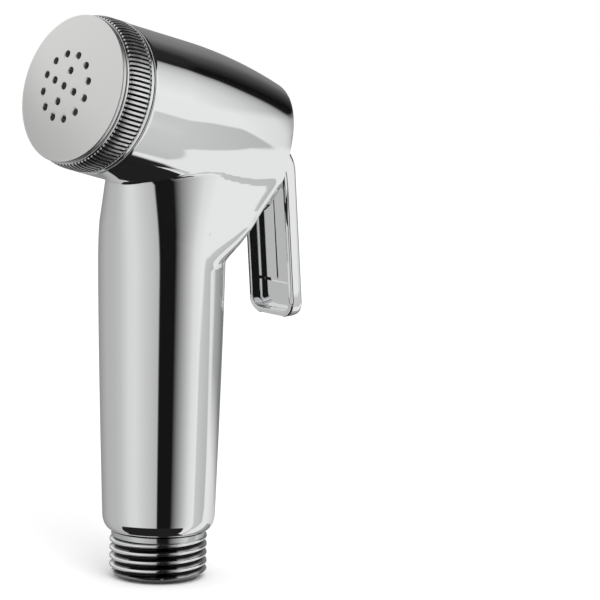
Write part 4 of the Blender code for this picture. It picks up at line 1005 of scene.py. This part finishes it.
class SPRAYER_OT_nipple(bpy.types.Operator):
    """Model the threaded inlet"""
    bl_idname = "sprayer.nipple"
    bl_label = "Inlet nipple"

    def execute(self, context):
        size = Plain(context.scene.sprayer_thread)
        bm = bmesh.new()
        depth = size.crest - size.root
        one_ridge = [(0.0, 0.0), (0.1, 0.02), (0.16, 0.12), (0.36, 0.84), (0.41, 0.96), (0.47, 1.0),
                     (0.63, 1.0), (0.69, 0.96), (0.74, 0.84), (0.94, 0.12), (1.0, 0.0)]
        verts = [bm.verts.new((size.root + depth * rise, 0, (part - 2) * size.pitch))
                 for part, rise in one_ridge]
        edges = [bm.edges.new(pair) for pair in zip(verts, verts[1:])]
        per_turn = 96
        steps = math.ceil((size.run / size.pitch + 3) * per_turn)
        bmesh.ops.spin(bm, geom=verts + edges, cent=(0, 0, 0), axis=(0, 0, 1), steps=steps,
                       angle=2 * math.pi * steps / per_turn, dvec=(0, 0, size.pitch / per_turn))
        bmesh.ops.remove_doubles(bm, verts=bm.verts, dist=0.001 * MM)
        for height, side in ((0.0, -1), (size.run, 1)):
            geometry = bm.verts[:] + bm.edges[:] + bm.faces[:]
            cut = bmesh.ops.bisect_plane(bm, geom=geometry, dist=SMALL, plane_co=(0, 0, height),
                                         plane_no=(0, 0, side), clear_outer=True)
            rim = [item for item in cut["geom_cut"] if isinstance(item, bmesh.types.BMEdge)]
            bmesh.ops.holes_fill(bm, edges=rim, sides=0)
        nipple = piece_from("inlet_thread", bm, thread_chrome(), 50.0)
        near = size.crest - size.chamfer
        far = size.crest + 2 * MM
        chamfer = turned([(near, -MM), (far, -MM), (far, far - near), (near, 0)], 96)
        low = size.run - 0.35 * MM
        ring_groove = (8.05 * MM, 17.2 * MM, 18.8 * MM)
        upper = turned([(0, low), (size.collar, low), (size.collar, size.shoulder),
                        (size.spigot, size.shoulder), (size.spigot, ring_groove[1]),
                        (ring_groove[0], ring_groove[1]), (ring_groove[0], ring_groove[2]),
                        (size.spigot, ring_groove[2]), (size.spigot, size.top), (0, size.top)], 96)
        tube_foot = 14.0 * MM
        tube_groove = (7.9 * MM, 21.05 * MM, 22.95 * MM)
        hollow = turned([(0, -MM), (size.seat, -MM), (size.seat, size.seat_depth),
                         (size.bore, size.seat_depth), (size.bore, tube_foot), (size.tube, tube_foot),
                         (size.tube, tube_groove[1]), (tube_groove[0], tube_groove[1]),
                         (tube_groove[0], tube_groove[2]), (size.tube, tube_groove[2]),
                         (size.tube, size.top + MM), (0, size.top + MM)], 96)
        apply_booleans(nipple, [("DIFFERENCE", chamfer), ("UNION", upper), ("DIFFERENCE", hollow)], 50.0)
        finish_piece(nipple, "sprayer", "chrome_plate", "inlet_nipple")
        return {"FINISHED"}


INNER_FINISHES = {
    "lever_pin": drawn_steel, "inlet_strainer": drawn_steel, "valve_spring": drawn_steel,
    "valve_stem": turned_brass, "gland_nut": turned_brass,
    "water_tube": moulded_acetal, "valve_housing": moulded_acetal, "valve_cap": moulded_acetal,
    "flow_diffuser": black_acetal,
    "nipple_o_ring": soft_rubber, "tube_lower_o_ring": soft_rubber, "tube_upper_o_ring": soft_rubber,
    "housing_o_ring": soft_rubber, "cap_o_ring": soft_rubber, "stem_o_ring": soft_rubber,
    "valve_seal": soft_rubber, "face_gasket": soft_rubber,
}


class SPRAYER_OT_inner_finishes(bpy.types.Operator):
    """Give the pin, the strainer and the valve's pieces their finishes"""
    bl_idname = "sprayer.inner_finishes"
    bl_label = "Inner finishes"

    def execute(self, context):
        for node, finish in INNER_FINISHES.items():
            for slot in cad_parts[node].material_slots:
                slot.material = finish()
        return {"FINISHED"}


def node_value(tree, operation, *inputs):
    """Math node with sockets or numbers as inputs."""
    math_node = tree.nodes.new("ShaderNodeMath")
    math_node.operation = operation
    for index, value in enumerate(inputs):
        if isinstance(value, (int, float)):
            math_node.inputs[index].default_value = value
        else:
            tree.links.new(value, math_node.inputs[index])
    return math_node.outputs[0]


def ramp(tree, value, stops):
    """Grey ramp over a value from 0 to 1."""
    colours = tree.nodes.new("ShaderNodeValToRGB")
    elements = colours.color_ramp.elements
    while len(elements) < len(stops):
        elements.new(0.5)
    for element, (position, grey) in zip(elements, stops):
        element.position = position
        element.color = (grey, grey, grey, 1)
    tree.links.new(value, colours.inputs["Fac"])
    return colours.outputs["Color"]


class SPRAYER_OT_studio(bpy.types.Operator):
    """Set up the camera, the pale floor and the studio light with its dark cards"""
    bl_idname = "sprayer.studio"
    bl_label = "Studio"

    def execute(self, context):
        self.camera(context)
        self.floor(context)
        self.world(context)
        self.lamps(context)
        context.scene.view_settings.view_transform = "Standard"
        return {"FINISHED"}

    def camera(self, context):
        studio = context.scene.sprayer_studio
        azimuth = studio.azimuth
        elevation = studio.elevation
        away = Vector((math.sin(azimuth) * math.cos(elevation), -math.cos(azimuth) * math.cos(elevation),
                       math.sin(elevation)))
        right = Vector((math.cos(azimuth), math.sin(azimuth), 0))
        up = away.cross(right)
        turned_right = right * math.cos(studio.roll) + up * math.sin(studio.roll)
        turned_up = up * math.cos(studio.roll) - right * math.sin(studio.roll)
        aim = Vector((0, 0, studio.aim_z)) + turned_right * studio.aim_right - turned_up * studio.aim_down
        data = bpy.data.cameras.new("camera")
        data.sensor_width = 36
        data.lens = 36 * studio.focal_pixels / 600
        data.clip_start = 0.01
        camera = bpy.data.objects.new("camera", data)
        place = Matrix((turned_right, turned_up, away)).transposed().to_4x4()
        place.translation = aim + away * studio.distance
        camera.matrix_world = place
        context.scene.collection.objects.link(camera)
        context.scene.camera = camera

    def floor(self, context):
        """Pale floor: even white light on it shows white, and the object's shadow stays."""
        bm = bmesh.new()
        bmesh.ops.create_circle(bm, cap_ends=True, segments=96, radius=0.6,
                                matrix=Matrix.Translation((0, 0, -0.4 * MM)))
        material, shader = shader_material("floor_white", context.scene.sprayer_studio.backdrop, 0.0, 0.9)
        shader.inputs["Specular IOR Level"].default_value = 0.0
        floor = piece_from("floor", bm, material)
        floor.visible_glossy = False

    def world(self, context):
        """White room with grey and dark cards, seen only in reflections; white to the camera."""
        world = bpy.data.worlds.new("studio")
        context.scene.world = world
        world.use_nodes = True
        tree = world.node_tree
        coordinates = tree.nodes.new("ShaderNodeTexCoord")
        separate = tree.nodes.new("ShaderNodeSeparateXYZ")
        tree.links.new(coordinates.outputs["Generated"], separate.inputs["Vector"])
        turn = node_value(tree, "ARCTAN2", separate.outputs["Y"], separate.outputs["X"])
        turn = node_value(tree, "SUBTRACT", turn, context.scene.sprayer_studio.azimuth - math.pi / 2)
        around = node_value(tree, "FRACT", node_value(tree, "MULTIPLY_ADD", turn, 0.5 / math.pi, 0.5))
        height = node_value(tree, "MULTIPLY_ADD", node_value(tree, "ARCSINE", separate.outputs["Z"]),
                            1 / math.pi, 0.5)

        def round_room(*stops):
            return ramp(tree, around, [(degrees / 360 + 0.5, grey) for degrees, grey in stops])

        def rises(*stops):
            return ramp(tree, height, [(degrees / 180 + 0.5, grey) for degrees, grey in stops])

        def over(*stops):
            """One above an edge whose height goes round the room, zero below it."""
            edge = round_room(*[(degrees, up / 180 + 0.5) for degrees, up in stops])
            step = node_value(tree, "MULTIPLY_ADD", node_value(tree, "SUBTRACT", height, edge), 120.0, 0.5)
            return node_value(tree, "MINIMUM", node_value(tree, "MAXIMUM", step, 0.0), 1.0)

        # Degrees to the right of the camera's direction, with the grey there. The dark card stands
        # from -1 to 26, and gives the black stripe down the handle.
        front = ((-150, 0.33), (-120, 0.46), (-95, 0.49), (-79, 0.55), (-60, 0.70), (-46, 0.72),
                 (-26, 0.60), (-3, 0.48), (-1, 0.008), (26, 0.008), (36, 0.23), (48, 0.45), (64, 0.74),
                 (78, 0.83))
        walls = round_room((-180, 0.25), *front, (100, 0.84), (113, 0.74), (119, 0.42), (140, 0.30),
                           (152, 0.2), (179, 0.25))
        grey_card = round_room((-180, 0.25), *front, (80, 0.60), (92, 0.55), (115, 0.46), (140, 0.34),
                               (152, 0.2), (179, 0.25))
        above = round_room((-178, 0.5), (-160, 0.8), (-90, 0.72), (-60, 0.72), (-26, 0.60), (-3, 0.48),
                           (-1, 0.008), (26, 0.008), (36, 0.23), (48, 0.45), (64, 0.74), (80, 0.88),
                           (91, 0.84), (107, 0.66), (115, 0.50), (119, 0.34), (121, 0.01), (128, 0.005),
                           (136, 0.025), (148, 0.08), (160, 0.19), (179, 0.26))
        white_card = round_room((0, 0.82), (120, 0.82), (150, 0.62), (179, 0.5))
        # Edges of the cards: degrees round the room, with the height in degrees above the horizon.
        card_top = over((86, -60), (86.5, -43), (91, -35), (95, -28), (100.5, -20), (106, -16),
                        (112, -12.8))
        card_foot = over((86.5, -44), (95, -54.2), (105, -66), (117, -66), (126, -22))
        in_card = node_value(tree, "MULTIPLY", node_value(tree, "SUBTRACT", 1.0, card_top), card_foot)
        horizon = over((79, -12.5), (84, -11.5), (90, -9), (99, -8), (105, -12), (110, -14.5))
        ceiling = over((-180, 60), (-120, 80), (0, 80), (60, 60), (84, 31), (179, 33))
        table = over((-180, -60), (-110, -56), (-85, -30), (58, -30), (68, -60), (95, -64.3), (179, -60))
        mixed = self.mix(tree, horizon, grey_card, walls)
        mixed = self.mix(tree, in_card, mixed, white_card)
        mixed = self.mix(tree, rises((3, 0), (9, 1)), mixed, above)
        mixed = self.mix(tree, ceiling, mixed, 0.02)
        mixed = self.mix(tree, table, 0.015, mixed)
        background = tree.nodes["Background"]
        path = tree.nodes.new("ShaderNodeLightPath")
        plain = tree.nodes.new("ShaderNodeBackground")
        plain.inputs["Color"].default_value = (*context.scene.sprayer_studio.backdrop, 1)
        tree.links.new(mixed, background.inputs["Color"])
        join = tree.nodes.new("ShaderNodeMixShader")
        tree.links.new(path.outputs["Is Glossy Ray"], join.inputs["Fac"])
        tree.links.new(plain.outputs["Background"], join.inputs[1])
        tree.links.new(background.outputs["Background"], join.inputs[2])
        tree.links.new(join.outputs["Shader"], tree.nodes["World Output"].inputs["Surface"])

    def mix(self, tree, factor, first, second):
        """The first where the factor is zero, the second where it is one; a number is a grey."""
        node = tree.nodes.new("ShaderNodeMixRGB")
        tree.links.new(factor, node.inputs["Fac"])
        for socket, value in (("Color1", first), ("Color2", second)):
            if isinstance(value, float):
                node.inputs[socket].default_value = (value, value, value, 1)
            else:
                tree.links.new(value, node.inputs[socket])
        return node.outputs["Color"]

    def lamps(self, context):
        """One soft key lamp for the plastic pieces; the plating mirrors the room instead."""
        data = bpy.data.lights.new("soft_key", "AREA")
        data.size = 0.6
        data.energy = 4.0
        lamp = bpy.data.objects.new("soft_key", data)
        lamp.location = (0.7, -0.2, 0.8)
        direction = Vector((0, 0, 0.06)) - lamp.location
        lamp.rotation_euler = direction.to_track_quat("-Z", "Y").to_euler()
        lamp.visible_glossy = False
        context.scene.collection.objects.link(lamp)


class SPRAYER_PT_panel(bpy.types.Panel):
    """Lists the steps and the sizes in the 3D view's sidebar"""
    bl_idname = "SPRAYER_PT_panel"
    bl_label = "Handheld sprayer"
    bl_space_type = "VIEW_3D"
    bl_region_type = "UI"
    bl_category = "Sprayer"

    def draw(self, context):
        for operator in OPERATORS:
            self.layout.operator(operator.bl_idname)
        for key, group in SIZE_GROUPS.items():
            box = self.layout.box()
            settings = getattr(context.scene, key)
            for prop in group.__annotations__:
                box.prop(settings, prop)


OPERATORS = (SPRAYER_OT_studio, SPRAYER_OT_body, SPRAYER_OT_collar, SPRAYER_OT_face, SPRAYER_OT_lever,
             SPRAYER_OT_nipple, SPRAYER_OT_inner_finishes)


def register():
    for key, group in SIZE_GROUPS.items():
        bpy.utils.register_class(group)
        setattr(bpy.types.Scene, key, bpy.props.PointerProperty(type=group))
    for operator in OPERATORS:
        bpy.utils.register_class(operator)
    bpy.utils.register_class(SPRAYER_PT_panel)


def unregister():
    bpy.utils.unregister_class(SPRAYER_PT_panel)
    for operator in reversed(OPERATORS):
        bpy.utils.unregister_class(operator)
    for key, group in SIZE_GROUPS.items():
        delattr(bpy.types.Scene, key)
        bpy.utils.unregister_class(group)


def main():
    register()
    bpy.ops.sprayer.studio()
    bpy.ops.sprayer.body()
    bpy.ops.sprayer.collar()
    bpy.ops.sprayer.face()
    bpy.ops.sprayer.lever()
    bpy.ops.sprayer.nipple()
    bpy.ops.sprayer.inner_finishes()


if __name__ == "__main__":
    main()
